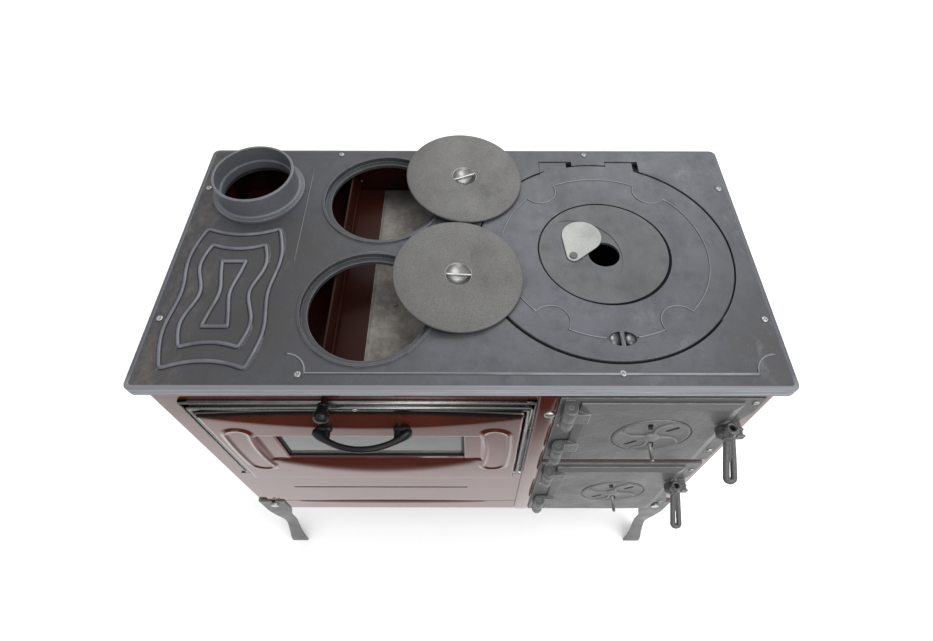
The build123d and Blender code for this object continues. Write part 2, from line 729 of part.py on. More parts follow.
keep(cooking_cover.part, "cooking_cover")

with BuildPart() as cover_hinge_pins:
    for tab_left, tab_right in HINGE_TABS:
        bar_along_x(
            (tab_left - HINGE_PIN_GRIP + 1, tab_right + HINGE_SLOT_EXTRA + HINGE_PIN_GRIP - 1),
            HINGE_DEPTH,
            HINGE_DROP,
            HINGE_PIN_R,
        )
keep(cover_hinge_pins.part, "cover_hinge_pins")

pivot = Vector(SWIVEL_PIVOT_X, back(SWIVEL_PIVOT_DEPTH))
swivel_bottom = SWIVEL_RECESS_DEEP - SEAT_GAP
swivel_top = swivel_bottom - SWIVEL_THICK
swivel_closed = SWIVEL_ANGLE - SWIVEL_TURN
fan_r = SWIVEL_REACH + SWIVEL_R + SLIDE_GAP
fan_spread = degrees(atan2(SWIVEL_R, SWIVEL_REACH))


def teardrop(angle, grow):
    """The swivel cover's outline: a big and a small circle and the straight sides between them."""
    with BuildSketch() as outline:
        with Locations(pivot):
            Circle(SWIVEL_NECK_R + grow)
        with Locations(pivot + Vector(SWIVEL_REACH, 0).rotate(Axis.Z, angle)):
            Circle(SWIVEL_R + grow)
        make_hull()
    return outline.sketch


with BuildPart() as inner_lid:
    with BuildSketch(level(INNER_THICK)):
        with Locations((COVER_X, back(COVER_DEPTH))):
            Circle(INNER_R)
    extrude(amount=INNER_THICK)
    chamfer(inner_lid.edges().group_by(Axis.Z)[-1], 0.8)
    # fan-shaped recess that the swivel cover sweeps over, centred on its rivet
    with BuildSketch(level(0)):
        with BuildLine():
            fan_middle = (swivel_closed + SWIVEL_ANGLE) / 2
            fan_turns = (swivel_closed - fan_spread, fan_middle, SWIVEL_ANGLE + fan_spread)
            fan = [pivot + Vector(fan_r, 0).rotate(Axis.Z, angle) for angle in fan_turns]
            Line(pivot, fan[0])
            ThreePointArc(*fan)
            Line(fan[2], pivot)
        make_face()
        add(teardrop(SWIVEL_ANGLE, SLIDE_GAP))
        add(teardrop(swivel_closed, SLIDE_GAP))
        with Locations((COVER_X, back(COVER_DEPTH))):
            Circle(INNER_R - 4, mode=Mode.INTERSECT)
    extrude(amount=-SWIVEL_RECESS_DEEP, mode=Mode.SUBTRACT)
    bar_upright(VENT_HOLE_X, VENT_HOLE_DEPTH, (0, INNER_THICK), VENT_HOLE_R, mode=Mode.SUBTRACT)
    rivet_head = (swivel_top - SEAT_GAP - RIVET_HEAD_HIGH, swivel_top - SEAT_GAP)
    bar_upright(SWIVEL_PIVOT_X, SWIVEL_PIVOT_DEPTH, (rivet_head[0], INNER_THICK), SWIVEL_RIVET_R)
    bar_upright(SWIVEL_PIVOT_X, SWIVEL_PIVOT_DEPTH, rivet_head, RIVET_HEAD_R)
keep(inner_lid.part, "inner_lid")

with BuildPart() as swivel_cover:
    with BuildSketch(level(swivel_bottom)):
        add(teardrop(SWIVEL_ANGLE, 0))
        with Locations(pivot):
            Circle(SWIVEL_RIVET_R + PIN_GAP, mode=Mode.SUBTRACT)
    extrude(amount=SWIVEL_THICK)
keep(swivel_cover.part, "swivel_cover")


# ------------------------------------------------------------------ loose cook lids
lid_tilt = degrees(atan2(LID_BULGE_DEEP - LID_THICK, LID_R - LID_BULGE_FLAT_R))
lid_height = LID_BULGE_DEEP * cos(radians(lid_tilt)) + LID_BULGE_FLAT_R * sin(radians(lid_tilt)) + SEAT_GAP


def cook_lid(lid_x, lid_depth, bar_turn):
    """A round lid with a lifter cup, parked on the plate, leaning on its bulge and its rim."""
    upwards = Axis.Z.direction.rotate(Axis.Y, lid_tilt).rotate(Axis.Z, LID_LOW_SIDE)
    bar_side = Vector(cos(radians(bar_turn)), sin(radians(bar_turn)), 0)
    across = (bar_side - upwards * bar_side.dot(upwards)).normalized()
    centre = Vector(lid_x, back(lid_depth), down(-lid_height))
    edge = LID_EDGE_CHAMFER
    # the cup is part of a sphere; this point lies halfway down its side
    sphere_r = (LID_CUP_R**2 + LID_CUP_DEEP**2) / (2 * LID_CUP_DEEP)
    half_turn = atan2(LID_CUP_R, sphere_r - LID_CUP_DEEP) / 2
    cup_middle = (sphere_r * sin(half_turn), sphere_r * (1 - cos(half_turn)) - LID_CUP_DEEP)
    with BuildPart() as lid:
        with BuildSketch(Plane(origin=centre, x_dir=across, z_dir=across.cross(upwards))):
            with BuildLine():
                Polyline(
                    (0, -LID_CUP_DEEP),
                    (0, -LID_BULGE_DEEP),
                    (LID_BULGE_FLAT_R, -LID_BULGE_DEEP),
                    (LID_BULGE_R, -LID_THICK),
                    (LID_R - edge, -LID_THICK),
                    (LID_R, edge - LID_THICK),
                    (LID_R, -edge),
                    (LID_R - edge, 0),
                    (LID_CUP_R, 0),
                )
                ThreePointArc((LID_CUP_R, 0), cup_middle, (0, -LID_CUP_DEEP))
            make_face()
        revolve(axis=Axis(centre, upwards))
        with BuildSketch(Plane(origin=centre, x_dir=across, z_dir=upwards)):
            Rectangle(2 * LID_CUP_R, LID_BAR_WIDE)
        extrude(amount=-LID_CUP_DEEP / 2)
    return lid.part


for lid_name, (lid_x, lid_depth, bar_turn) in LIDS_PARKED.items():
    keep(cook_lid(lid_x, lid_depth, bar_turn), f"{lid_name}_lid")

# ------------------------------------------------------------------ casing sheets
leg_bolt_depths = (LEG_FRONT_DEPTH + LEG_BOLT_IN, PLATE_DEPTH - LEG_FRONT_DEPTH - LEG_BOLT_IN)
leg_bolt_drop = LEG_TOP_DROP + LEG_BOLT_BELOW
leg_bolt_x = LEG_OUT_X - LEG_BOLT_IN
for side_name, side in (("left", -1), ("right", 1)):
    with BuildPart() as side_panel:
        faces = sorted((side * INSIDE, side * HALF_BODY))
        flange = sorted((side * (INSIDE - LUG_WIDE), side * INSIDE))
        slab(faces, (BODY_SET_BACK, BACK_FACE), (PLATE_THICK, BODY_DROP))
        slab(flange, (BODY_SET_BACK + SHEET, BACK_FACE - SHEET), (BODY_DROP - SHEET, BODY_DROP))
        # lugs that the plate's side screws go through, and holes for the leg bolts
        for screw_x, screw_depth in PLATE_SCREWS:
            if screw_x * side > INSIDE - LUG_WIDE:
                lug_drops = (PLATE_THICK, PLATE_THICK + SHEET)
                slab(flange, (screw_depth - LUG_LONG / 2, screw_depth + LUG_LONG / 2), lug_drops)
                bar_upright(screw_x, screw_depth, lug_drops, SCREW_R + PIN_GAP, mode=Mode.SUBTRACT)
        for bolt_depth in leg_bolt_depths:
            bar_along_x(faces, bolt_depth, leg_bolt_drop, LEG_BOLT_R + PIN_GAP, mode=Mode.SUBTRACT)
    keep(side_panel.part, f"{side_name}_side_panel")

with BuildPart() as back_panel:
    slab((-INSIDE, INSIDE), (BACK_FACE - SHEET, BACK_FACE), (PLATE_THICK, BODY_DROP))
    back_sheet = (BACK_FACE - SHEET, BACK_FACE)
    bar_along_y(FLAP_X, FLAP_DROP, ROD_R + ROD_HOLE_GAP, back_sheet, mode=Mode.SUBTRACT)
    for side in (-1, 1):
        bar_along_y(side * leg_bolt_x, leg_bolt_drop, LEG_BOLT_R + PIN_GAP, back_sheet, mode=Mode.SUBTRACT)
keep(back_panel.part, "back_panel")

with BuildPart() as floor_panel:
    slab((-INSIDE, INSIDE), (BODY_SET_BACK + SHEET, BACK_FACE - SHEET), (FLOOR_DROP, FLOOR_DROP + SHEET))
keep(floor_panel.part, "floor_panel")

front_sheet = (BODY_SET_BACK, BODY_SET_BACK + SHEET)
front_step = (BODY_SET_BACK - FRONT_STEP, BODY_SET_BACK)
with BuildPart() as front_top_rail:
    slab((-INSIDE, FIRE_LEFT), front_sheet, (PLATE_THICK, MOUTH_TOP_DROP))
    bar_along_y(FLAP_X, FLAP_DROP, ROD_R + ROD_HOLE_GAP, front_sheet, mode=Mode.SUBTRACT)
    bar_along_y(*TRIM_SCREW, TRIM_SCREW_R + PIN_GAP, front_sheet, mode=Mode.SUBTRACT)
keep(front_top_rail.part, "front_top_rail")

with BuildPart() as left_front_stile:
    slab((-INSIDE, MOUTH_LEFT - DOOR_GAP), front_sheet, (MOUTH_TOP_DROP, BODY_DROP))
    bar_along_y(-leg_bolt_x, leg_bolt_drop, LEG_BOLT_R + PIN_GAP, front_sheet, mode=Mode.SUBTRACT)
keep(left_front_stile.part, "left_front_stile")

post_fold = (BODY_SET_BACK - POST_FOLD_THICK, BODY_SET_BACK)
with BuildPart() as centre_post:
    slab((MOUTH_RIGHT + DOOR_GAP, FIRE_LEFT), front_sheet, (MOUTH_TOP_DROP, BODY_DROP))
    slab((POST_LEFT, FIRE_LEFT - POST_INSET), post_fold, (LIP_DROP + 2, BODY_DROP))
    bar_along_y(*POST_BOLT, SCREW_R + PIN_GAP, (post_fold[0], front_sheet[1]), mode=Mode.SUBTRACT)
keep(centre_post.part, "centre_post")

with BuildPart() as fire_side_front:
    slab((FIRE_LEFT, INSIDE), front_sheet, (PLATE_THICK, BODY_DROP))
    for top, bottom in (FIRE_OPENING, ASH_OPENING):
        slab(
            (OPENING_LEFT - FRAME_LAP, OPENING_RIGHT + FRAME_LAP),
            front_sheet,
            (top - FRAME_LAP, min(bottom + FRAME_LAP, FLOOR_DROP)),
            mode=Mode.SUBTRACT,
        )
    for screw_x, screw_drop in FRAME_SCREWS:
        bar_along_y(screw_x, screw_drop, FRAME_SCREW_R + PIN_GAP, front_sheet, mode=Mode.SUBTRACT)
    bar_along_y(leg_bolt_x, leg_bolt_drop, LEG_BOLT_R + PIN_GAP, front_sheet, mode=Mode.SUBTRACT)
keep(fire_side_front.part, "fire_side_front")

with BuildPart() as lower_front_panel:
    slab((LOWER_LEFT, POST_LEFT - 1), front_step, (LOWER_TOP_DROP, LOWER_BOTTOM_DROP))
    slab(
        LOWER_GROOVE_X,
        (front_step[0], front_step[0] + LOWER_GROOVE_DEEP),
        (LOWER_GROOVE_DROP, LOWER_GROOVE_DROP + LOWER_GROOVE_HIGH),
        mode=Mode.SUBTRACT,
    )
keep(lower_front_panel.part, "lower_front_panel")

with BuildPart() as plinth_rail:
    slab(
        (LEG_SECTIONS[0][2] - LEG_OUT_X + 1, POST_LEFT - 1),
        front_step,
        (LOWER_BOTTOM_DROP + 2, BODY_DROP),
    )
keep(plinth_rail.part, "plinth_rail")

# ------------------------------------------------------------------ oven
trim_depths = (TRIM_FRONT_DEPTH, BODY_SET_BACK)
with BuildPart() as oven_trim:
    slab((TRIM_LEFT, TRIM_RIGHT), trim_depths, (TRIM_RAIL_DROP, MOUTH_TOP_DROP))
    for stile in ((TRIM_LEFT, MOUTH_LEFT), (MOUTH_RIGHT, TRIM_RIGHT)):
        slab(stile, trim_depths, (MOUTH_TOP_DROP, TRIM_BOTTOM_DROP))
        bar_along_x(stile, OVEN_PIN_DEPTH, OVEN_PIN_DROP, OVEN_PIN_R, mode=Mode.SUBTRACT)
    fillet(oven_trim.edges().filter_by(Axis.Z).group_by(Axis.Y)[0], 2)
    bar_along_y(FLAP_X, FLAP_DROP, ROD_R + 1, trim_depths, mode=Mode.SUBTRACT)
    bar_along_y(*TRIM_SCREW, TRIM_SCREW_R + PIN_GAP, trim_depths, mode=Mode.SUBTRACT)
keep(oven_trim.part, "oven_trim")

with BuildPart() as front_screws:
    trim_head = (TRIM_FRONT_DEPTH - TRIM_SCREW_HEAD_HIGH, TRIM_FRONT_DEPTH)
    bar_along_y(*TRIM_SCREW, TRIM_SCREW_HEAD_R, trim_head)
    bar_along_y(*TRIM_SCREW, TRIM_SCREW_R, (TRIM_FRONT_DEPTH, front_sheet[1]))
    bar_along_y(*POST_BOLT, POST_BOLT_HEAD_R, (post_fold[0] - POST_BOLT_HEAD_HIGH, post_fold[0]))
    bar_along_y(*POST_BOLT, SCREW_R, (post_fold[0], front_sheet[1]))
keep(front_screws.part, "front_screws")

oven_inside = (OVEN_LEFT + SHEET, OVEN_RIGHT - SHEET)
with BuildPart() as oven_box:
    slab((OVEN_LEFT, OVEN_RIGHT), (front_sheet[1], OVEN_BACK_DEPTH), (OVEN_TOP_DROP, OVEN_BOTTOM_DROP))
    slab(
        oven_inside,
        (front_sheet[1], OVEN_BACK_DEPTH - SHEET),
        (OVEN_TOP_DROP + SHEET, OVEN_BOTTOM_DROP - SHEET),
        mode=Mode.SUBTRACT,
    )
keep(oven_box.part, "oven_box")

with BuildPart() as oven_runners:
    for runner_drop in RUNNER_DROPS:
        for inwards, wall in ((1, oven_inside[0]), (-1, oven_inside[1])):
            depths = (BODY_SET_BACK + 16, OVEN_BACK_DEPTH - 10)
            ledge = sorted((wall, wall + inwards * RUNNER_WIDE))
            stem = sorted((wall, wall + inwards * RUNNER_THICK))
            slab(ledge, depths, (runner_drop, runner_drop + RUNNER_THICK))
            slab(stem, depths, (runner_drop + RUNNER_THICK, runner_drop + RUNNER_HIGH))
keep(oven_runners.part, "oven_runners")

tray_bottom = RUNNER_DROPS[-1] - SEAT_GAP
tray_x = (MOUTH_LEFT + TRAY_SIDE_GAP, MOUTH_RIGHT - TRAY_SIDE_GAP)
with BuildPart() as baking_tray:
    slab(tray_x, (TRAY_DEPTH, TRAY_DEPTH + TRAY_LONG), (tray_bottom - TRAY_HIGH, tray_bottom))
    fillet(baking_tray.edges().filter_by(Axis.Z), 8)
    offset(amount=-TRAY_WALL, openings=baking_tray.faces().sort_by(Axis.Z)[-1])
keep(baking_tray.part, "baking_tray")

shield_top = OVEN_TOP_DROP - SHIELD_THICK
with BuildPart() as oven_heat_shield:
    shield_depths = (BODY_SET_BACK + 16, OVEN_BACK_DEPTH - 4)
    slab((SHIELD_LEFT, SHIELD_RIGHT), shield_depths, (shield_top, OVEN_TOP_DROP))
    bar_along_y(SHIELD_LEFT + SHIELD_RIDGE_IN, shield_top, SHIELD_THICK / 2, shield_depths)
    bar_upright(*SHIELD_RIVET, (shield_top - SHIELD_THICK, shield_top), SHIELD_RIVET_R)
keep(oven_heat_shield.part, "oven_heat_shield")

# ------------------------------------------------------------------ oven door
with BuildPart() as oven_door_skin:
    slab((DOOR_LEFT, DOOR_RIGHT), (DOOR_FRONT_DEPTH, DOOR_BACK_DEPTH), (DOOR_TOP_DROP, DOOR_BOTTOM_DROP))
    fillet(oven_door_skin.faces().sort_by(Axis.Y)[0].edges(), 2)
    # sunken field round the window
    slab(
        (WINDOW_LEFT - RECESS_SIDE, WINDOW_RIGHT + RECESS_SIDE),
        (DOOR_FRONT_DEPTH, DOOR_FRONT_DEPTH + RECESS_DEEP),
        (WINDOW_TOP_DROP - RECESS_RISE, WINDOW_BOTTOM_DROP + RECESS_RISE),
        mode=Mode.SUBTRACT,
    )
    # shallow lens-shaped fields above and below the window
    lens_left, lens_right = DOOR_LEFT + LENS_MARGIN, DOOR_RIGHT - LENS_MARGIN
    lens_top = down(DOOR_TOP_DROP + LENS_MARGIN)
    lens_low = down(WINDOW_BOTTOM_DROP + RECESS_RISE + LENS_MARGIN)
    with BuildSketch(upright(DOOR_FRONT_DEPTH)):
        for lens_x, lens_z, sag in (
            ((lens_left, lens_right), lens_top, UPPER_LENS_SAG),
            ((WINDOW_LEFT - RECESS_SIDE, WINDOW_RIGHT + RECESS_SIDE), lens_low, LOWER_LENS_SAG),
        ):
            with BuildLine():
                Line((lens_x[0], lens_z), (lens_x[1], lens_z))
                ThreePointArc((lens_x[1], lens_z), (sum(lens_x) / 2, lens_z - sag), (lens_x[0], lens_z))
            make_face()
    extrude(amount=-LENS_DEEP, mode=Mode.SUBTRACT)
    # raised oval lobes beside the window
    with BuildSketch(upright(DOOR_FRONT_DEPTH)):
        for lobe_x in (DOOR_LEFT + LOBE_IN, DOOR_RIGHT - LOBE_IN):
            with Locations((lobe_x, down(LOBE_DROP))):
                SlotCenterToCenter(LOBE_HIGH - LOBE_WIDE, LOBE_WIDE, rotation=90)
    extrude(amount=LOBE_RISE)
    slab(
        (WINDOW_LEFT, WINDOW_RIGHT),
        (DOOR_FRONT_DEPTH, DOOR_BACK_DEPTH),
        (WINDOW_TOP_DROP, WINDOW_BOTTOM_DROP),
        mode=Mode.SUBTRACT,
    )
    # hinge lugs at the bottom corners
    for lug_x in ((DOOR_LEFT, DOOR_LEFT + OVEN_LUG_WIDE), (DOOR_RIGHT - OVEN_LUG_WIDE, DOOR_RIGHT)):
        slab(
            lug_x,
            (DOOR_BACK_DEPTH, OVEN_PIN_DEPTH + OVEN_LUG_R),
            (OVEN_PIN_DROP - OVEN_LUG_R, OVEN_PIN_DROP + OVEN_LUG_R),
        )
        bar_along_x(lug_x, OVEN_PIN_DEPTH, OVEN_PIN_DROP, OVEN_PIN_R + PIN_GAP, mode=Mode.SUBTRACT)
keep(oven_door_skin.part, "oven_door_skin")

with BuildPart() as oven_hinge_pins:
    for pin_x in (
        (TRIM_LEFT + 2, DOOR_LEFT + OVEN_LUG_WIDE - 2),
        (DOOR_RIGHT - OVEN_LUG_WIDE + 2, TRIM_RIGHT - 2),
    ):
        bar_along_x(pin_x, OVEN_PIN_DEPTH, OVEN_PIN_DROP, OVEN_PIN_R)
keep(oven_hinge_pins.part, "oven_hinge_pins")

glass_x = (WINDOW_LEFT - GLASS_LAP, WINDOW_RIGHT + GLASS_LAP)
glass_drops = (WINDOW_TOP_DROP - GLASS_LAP, WINDOW_BOTTOM_DROP + GLASS_LAP)
glass_depths = (DOOR_BACK_DEPTH, DOOR_BACK_DEPTH + GLASS_THICK)
with BuildPart() as oven_door_glass:
    slab(glass_x, glass_depths, glass_drops)
keep(oven_door_glass.part, "oven_door_glass")

with BuildPart() as oven_door_liner:
    liner_x = (DOOR_LEFT + LINER_SIDE_GAP, DOOR_RIGHT - LINER_SIDE_GAP)
    liner_drops = (DOOR_TOP_DROP + LINER_SIDE_GAP, LINER_BOTTOM_DROP)
    slab(liner_x, (DOOR_BACK_DEPTH, LINER_BACK_DEPTH), liner_drops)
    slab(
        (liner_x[0] + SHEET, liner_x[1] - SHEET),
        (DOOR_BACK_DEPTH, LINER_BACK_DEPTH - SHEET),
        (liner_drops[0] + SHEET, liner_drops[1] - SHEET),
        mode=Mode.SUBTRACT,
    )
    # collar that presses the glass against the skin all round the window
    slab(glass_x, (glass_depths[1], LINER_BACK_DEPTH - SHEET), glass_drops)
    slab(
        (WINDOW_LEFT, WINDOW_RIGHT),
        (glass_depths[1], LINER_BACK_DEPTH),
        (WINDOW_TOP_DROP, WINDOW_BOTTOM_DROP),
        mode=Mode.SUBTRACT,
    )
keep(oven_door_liner.part, "oven_door_liner")

recess_floor = DOOR_FRONT_DEPTH + RECESS_DEEP
with BuildPart() as glass_clips:
    for clip_x in (WINDOW_LEFT - CLIP_GAP - CLIP_WIDE / 2, WINDOW_RIGHT + CLIP_GAP + CLIP_WIDE / 2):
        clip_drop = WINDOW_TOP_DROP + (WINDOW_BOTTOM_DROP - WINDOW_TOP_DROP) * 0.5
        with BuildSketch(upright(recess_floor)):
            with Locations((clip_x, down(clip_drop))):
                Rectangle(CLIP_WIDE, CLIP_HIGH)
                SlotOverall(CLIP_HIGH / 2, CLIP_SLOT, rotation=90, mode=Mode.SUBTRACT)
        extrude(amount=CLIP_THICK)
keep(glass_clips.part, "glass_clips")

# handle: a bow in a level plane, standing on two studs
handle_r = ((HANDLE_CHORD / 2) ** 2 + HANDLE_SAG**2) / (2 * HANDLE_SAG)
handle_middle = HANDLE_END_DEPTH - HANDLE_SAG
stud_end = handle_middle + handle_r - (handle_r**2 - (STUD_APART / 2) ** 2) ** 0.5
with BuildPart() as oven_handle:
    with BuildSketch(level(HANDLE_DROP + HANDLE_HIGH / 2)):
        with BuildLine():
            ThreePointArc(
                (DOOR_MID_X - HANDLE_CHORD / 2, back(HANDLE_END_DEPTH)),
                (DOOR_MID_X, back(handle_middle)),
                (DOOR_MID_X + HANDLE_CHORD / 2, back(HANDLE_END_DEPTH)),
            )
        trace(line_width=HANDLE_THICK)
    extrude(amount=HANDLE_HIGH)
    fillet(oven_handle.edges().filter_by(GeomType.CIRCLE), 2.5)
    for stud_x in (DOOR_MID_X - STUD_APART / 2, DOOR_MID_X + STUD_APART / 2):
        stud_hole = (stud_end, HANDLE_END_DEPTH + HANDLE_THICK)
        bar_along_y(stud_x, HANDLE_DROP, STUD_R + PIN_GAP, stud_hole, mode=Mode.SUBTRACT)
keep(oven_handle.part, "oven_handle")

with BuildPart() as handle_studs:
    for stud_x in (DOOR_MID_X - STUD_APART / 2, DOOR_MID_X + STUD_APART / 2):
        bar_along_y(stud_x, HANDLE_DROP, STUD_R, (stud_end + PIN_GAP, DOOR_FRONT_DEPTH))
keep(handle_studs.part, "handle_studs")

# ------------------------------------------------------------------ draft flap and its knob
with BuildPart() as draft_flap:
    bar_along_y(FLAP_X, FLAP_DROP, ROD_R, (KNOB_NECK_DEPTH - ROD_IN_KNOB, BACK_FACE + 2))
    slab(
        (FLAP_X - FLAP_THICK / 2, FLAP_X + FLAP_THICK / 2),
        (FLAP_FROM_DEPTH, FLAP_TO_DEPTH),
        (FLAP_TOP_DROP, FLAP_DROP),
    )
keep(draft_flap.part, "draft_flap")

with BuildPart() as draft_knob:
    bar_along_y(FLAP_X, FLAP_DROP, KNOB_NECK_R, (KNOB_STEP_DEPTH, KNOB_NECK_DEPTH))
    bar_along_y(FLAP_X, FLAP_DROP, KNOB_HEAD_R, (KNOB_END_DEPTH, KNOB_STEP_DEPTH))
    chamfer(draft_knob.edges().group_by(Axis.Y)[0], 2)
    knob_bore = (KNOB_NECK_DEPTH - ROD_IN_KNOB - PIN_GAP, KNOB_NECK_DEPTH)
    bar_along_y(FLAP_X, FLAP_DROP, ROD_R + PIN_GAP, knob_bore, mode=Mode.SUBTRACT)
keep(draft_knob.part, "draft_knob")

# ------------------------------------------------------------------ firebox and ash space
partition = (PARTITION_X, PARTITION_X + SHEET)
with BuildPart() as firebox_partition:
    slab(partition, (front_sheet[1], BACK_FACE - SHEET), (OVEN_TOP_DROP, FLOOR_DROP))
keep(firebox_partition.part, "firebox_partition")

liner_height = (LINER_TOP_DROP, GRATE_DROP)
liner_back = (BACK_LINER_DEPTH, BACK_LINER_DEPTH + LINER_THICK)
with BuildPart() as left_liner:
    slab((partition[1], partition[1] + LINER_THICK), (LINER_FRONT_DEPTH, BACK_LINER_DEPTH), liner_height)
keep(left_liner.part, "left_liner")

with BuildPart() as right_liner:
    slab((RIGHT_LINER_X, RIGHT_LINER_X + LINER_THICK), (LINER_FRONT_DEPTH, BACK_LINER_DEPTH), liner_height)
keep(right_liner.part, "right_liner")

with BuildPart() as back_liner:
    slab((partition[1], RIGHT_LINER_X + LINER_THICK), liner_back, liner_height)
keep(back_liner.part, "back_liner")

grate_x = (GRATE_LEFT, GRATE_RIGHT)
grate_depth = (GRATE_FRONT_DEPTH, GRATE_BACK_DEPTH)
grate_bottom = GRATE_DROP + GRATE_FRAME_THICK / 2
with BuildPart() as grate_frame:
    slab(
        (partition[1], INSIDE),
        (LINER_FRONT_DEPTH, liner_back[1]),
        (GRATE_DROP, GRATE_DROP + GRATE_FRAME_THICK),
    )
    slab(
        (grate_x[0] - SLIDE_GAP, grate_x[1] + SLIDE_GAP),
        (grate_depth[0] - SLIDE_GAP, grate_depth[1] + SLIDE_GAP),
        (GRATE_DROP, grate_bottom),
        mode=Mode.SUBTRACT,
    )
    slab(
        (grate_x[0] + GRATE_LEDGE, grate_x[1] - GRATE_LEDGE),
        (grate_depth[0] + GRATE_LEDGE, grate_depth[1] - GRATE_LEDGE),
        (grate_bottom, GRATE_DROP + GRATE_FRAME_THICK),
        mode=Mode.SUBTRACT,
    )
keep(grate_frame.part, "grate_frame")

with BuildPart() as fire_grate:
    slab(grate_x, grate_depth, (grate_bottom - GRATE_THICK, grate_bottom))
    slot_pitch = (GRATE_RIGHT - GRATE_LEFT) / (GRATE_SLOTS + 0.5)
    half_grate = (GRATE_BACK_DEPTH - GRATE_FRONT_DEPTH) / 2
    with BuildSketch(level(grate_bottom)):
        with Locations((sum(grate_x) / 2, back(sum(grate_depth) / 2))):
            with GridLocations(slot_pitch, half_grate - GRATE_RIB_WIDE / 2, GRATE_SLOTS, 2):
                SlotOverall(half_grate - 2 * GRATE_RIB_WIDE, GRATE_SLOT_WIDE, rotation=90)
    extrude(amount=GRATE_THICK, mode=Mode.SUBTRACT)
keep(fire_grate.part, "fire_grate")

pan_bottom = FLOOR_DROP - SEAT_GAP
pan_x = (OPENING_LEFT + PAN_SIDE_GAP, OPENING_RIGHT - PAN_SIDE_GAP)
with BuildPart() as ash_pan:
    slab(pan_x, (PAN_FRONT_DEPTH, PAN_FRONT_DEPTH + PAN_LONG), (pan_bottom - PAN_HIGH, pan_bottom))
    fillet(ash_pan.edges().filter_by(Axis.Z), 6)
    offset(amount=-PAN_WALL, openings=ash_pan.faces().sort_by(Axis.Z)[-1])
    pan_knob = (PAN_FRONT_DEPTH - PAN_KNOB_LONG, PAN_FRONT_DEPTH)
    bar_along_y(sum(pan_x) / 2, pan_bottom - PAN_HIGH / 2, PAN_KNOB_R, pan_knob)
keep(ash_pan.part, "ash_pan")


# ------------------------------------------------------------------ cast frames, doors and what they carry
def barrels(top, bottom):
    """The drops of the frame's and the door's hinge barrels for a door between two drops."""
    upper = top - TOP_HINGE_RISE
    lower = bottom - BOTTOM_HINGE_UP
    door_high = (upper + FRAME_BARREL + BARREL_GAP, upper + FRAME_BARREL + BARREL_GAP + DOOR_BARREL)
    door_low = (lower - BARREL_GAP - DOOR_BARREL, lower - BARREL_GAP)
    return (upper, upper + FRAME_BARREL), door_high, door_low, (lower, lower + FRAME_BARREL)


def cast_frame(edges, opening, door, waist, latch_drop, screws):
    """A cast front frame with its hinge barrels and the keeper for the latch."""
    with BuildPart() as frame:
        with BuildSketch(upright(BODY_SET_BACK)):
            with BuildLine():
                top, bottom = down(edges[0]), down(edges[1])
                waist_top, waist_low = down(waist[0]), down(waist[1])
                waist_mid = (FRAME_RIGHT - FRAME_WAIST, (waist_top + waist_low) / 2)
                Polyline(
                    (FRAME_RIGHT, waist_low),
                    (FRAME_RIGHT, bottom),
                    (FRAME_LEFT, bottom),
                    (FRAME_LEFT, top),
                    (FRAME_RIGHT, top),
                    (FRAME_RIGHT, waist_top),
                )
                ThreePointArc((FRAME_RIGHT, waist_top), waist_mid, (FRAME_RIGHT, waist_low))
            make_face()
            with Locations(((OPENING_LEFT + OPENING_RIGHT) / 2, down(sum(opening) / 2))):
                Rectangle(OPENING_RIGHT - OPENING_LEFT, opening[1] - opening[0], mode=Mode.SUBTRACT)
        extrude(amount=FRAME_THICK)
        frame_depths = (FRAME_DEPTH, BODY_SET_BACK)
        for screw_x, screw_drop in screws:
            bar_along_y(screw_x, screw_drop, FRAME_SCREW_R + PIN_GAP, frame_depths, mode=Mode.SUBTRACT)
        # room for the web of the leg under the frame's right end
        slab(
            (LEG_OUT_X - LEG_SECTIONS[0][2] - 1, FRAME_RIGHT),
            frame_depths,
            (LEG_TOP_DROP - 1, BODY_DROP),
            mode=Mode.SUBTRACT,
        )
        high, _, _, low = barrels(*door)
        neck_x = (CAST_HINGE_X - NECK_HALF, CAST_HINGE_X + NECK_HALF)
        for barrel in (high, low):
            bar_upright(CAST_HINGE_X, CAST_HINGE_DEPTH, barrel, BARREL_R)
            slab(neck_x, (CAST_HINGE_DEPTH, FRAME_DEPTH), barrel)
            bar_upright(CAST_HINGE_X, CAST_HINGE_DEPTH, barrel, CAST_PIN_R + PIN_GAP, mode=Mode.SUBTRACT)
        # keeper: a shelf under the latch tongue with a lip in front of it
        shelf_drop = latch_drop + KEEPER_FLOOR
        keeper_x = (KEEPER_X, KEEPER_X + KEEPER_WIDE)
        lip = (KEEPER_FRONT_DEPTH, KEEPER_FRONT_DEPTH + KEEPER_LIP_THICK)
        slab(keeper_x, (KEEPER_FRONT_DEPTH, FRAME_DEPTH), (shelf_drop, shelf_drop + KEEPER_THICK))
        slab(keeper_x, lip, (shelf_drop - KEEPER_LIP, shelf_drop))
        # the wall behind the waist that the keeper's shelf stands on
        slab(keeper_x, frame_depths, (shelf_drop, shelf_drop + KEEPER_THICK))
    return frame.part


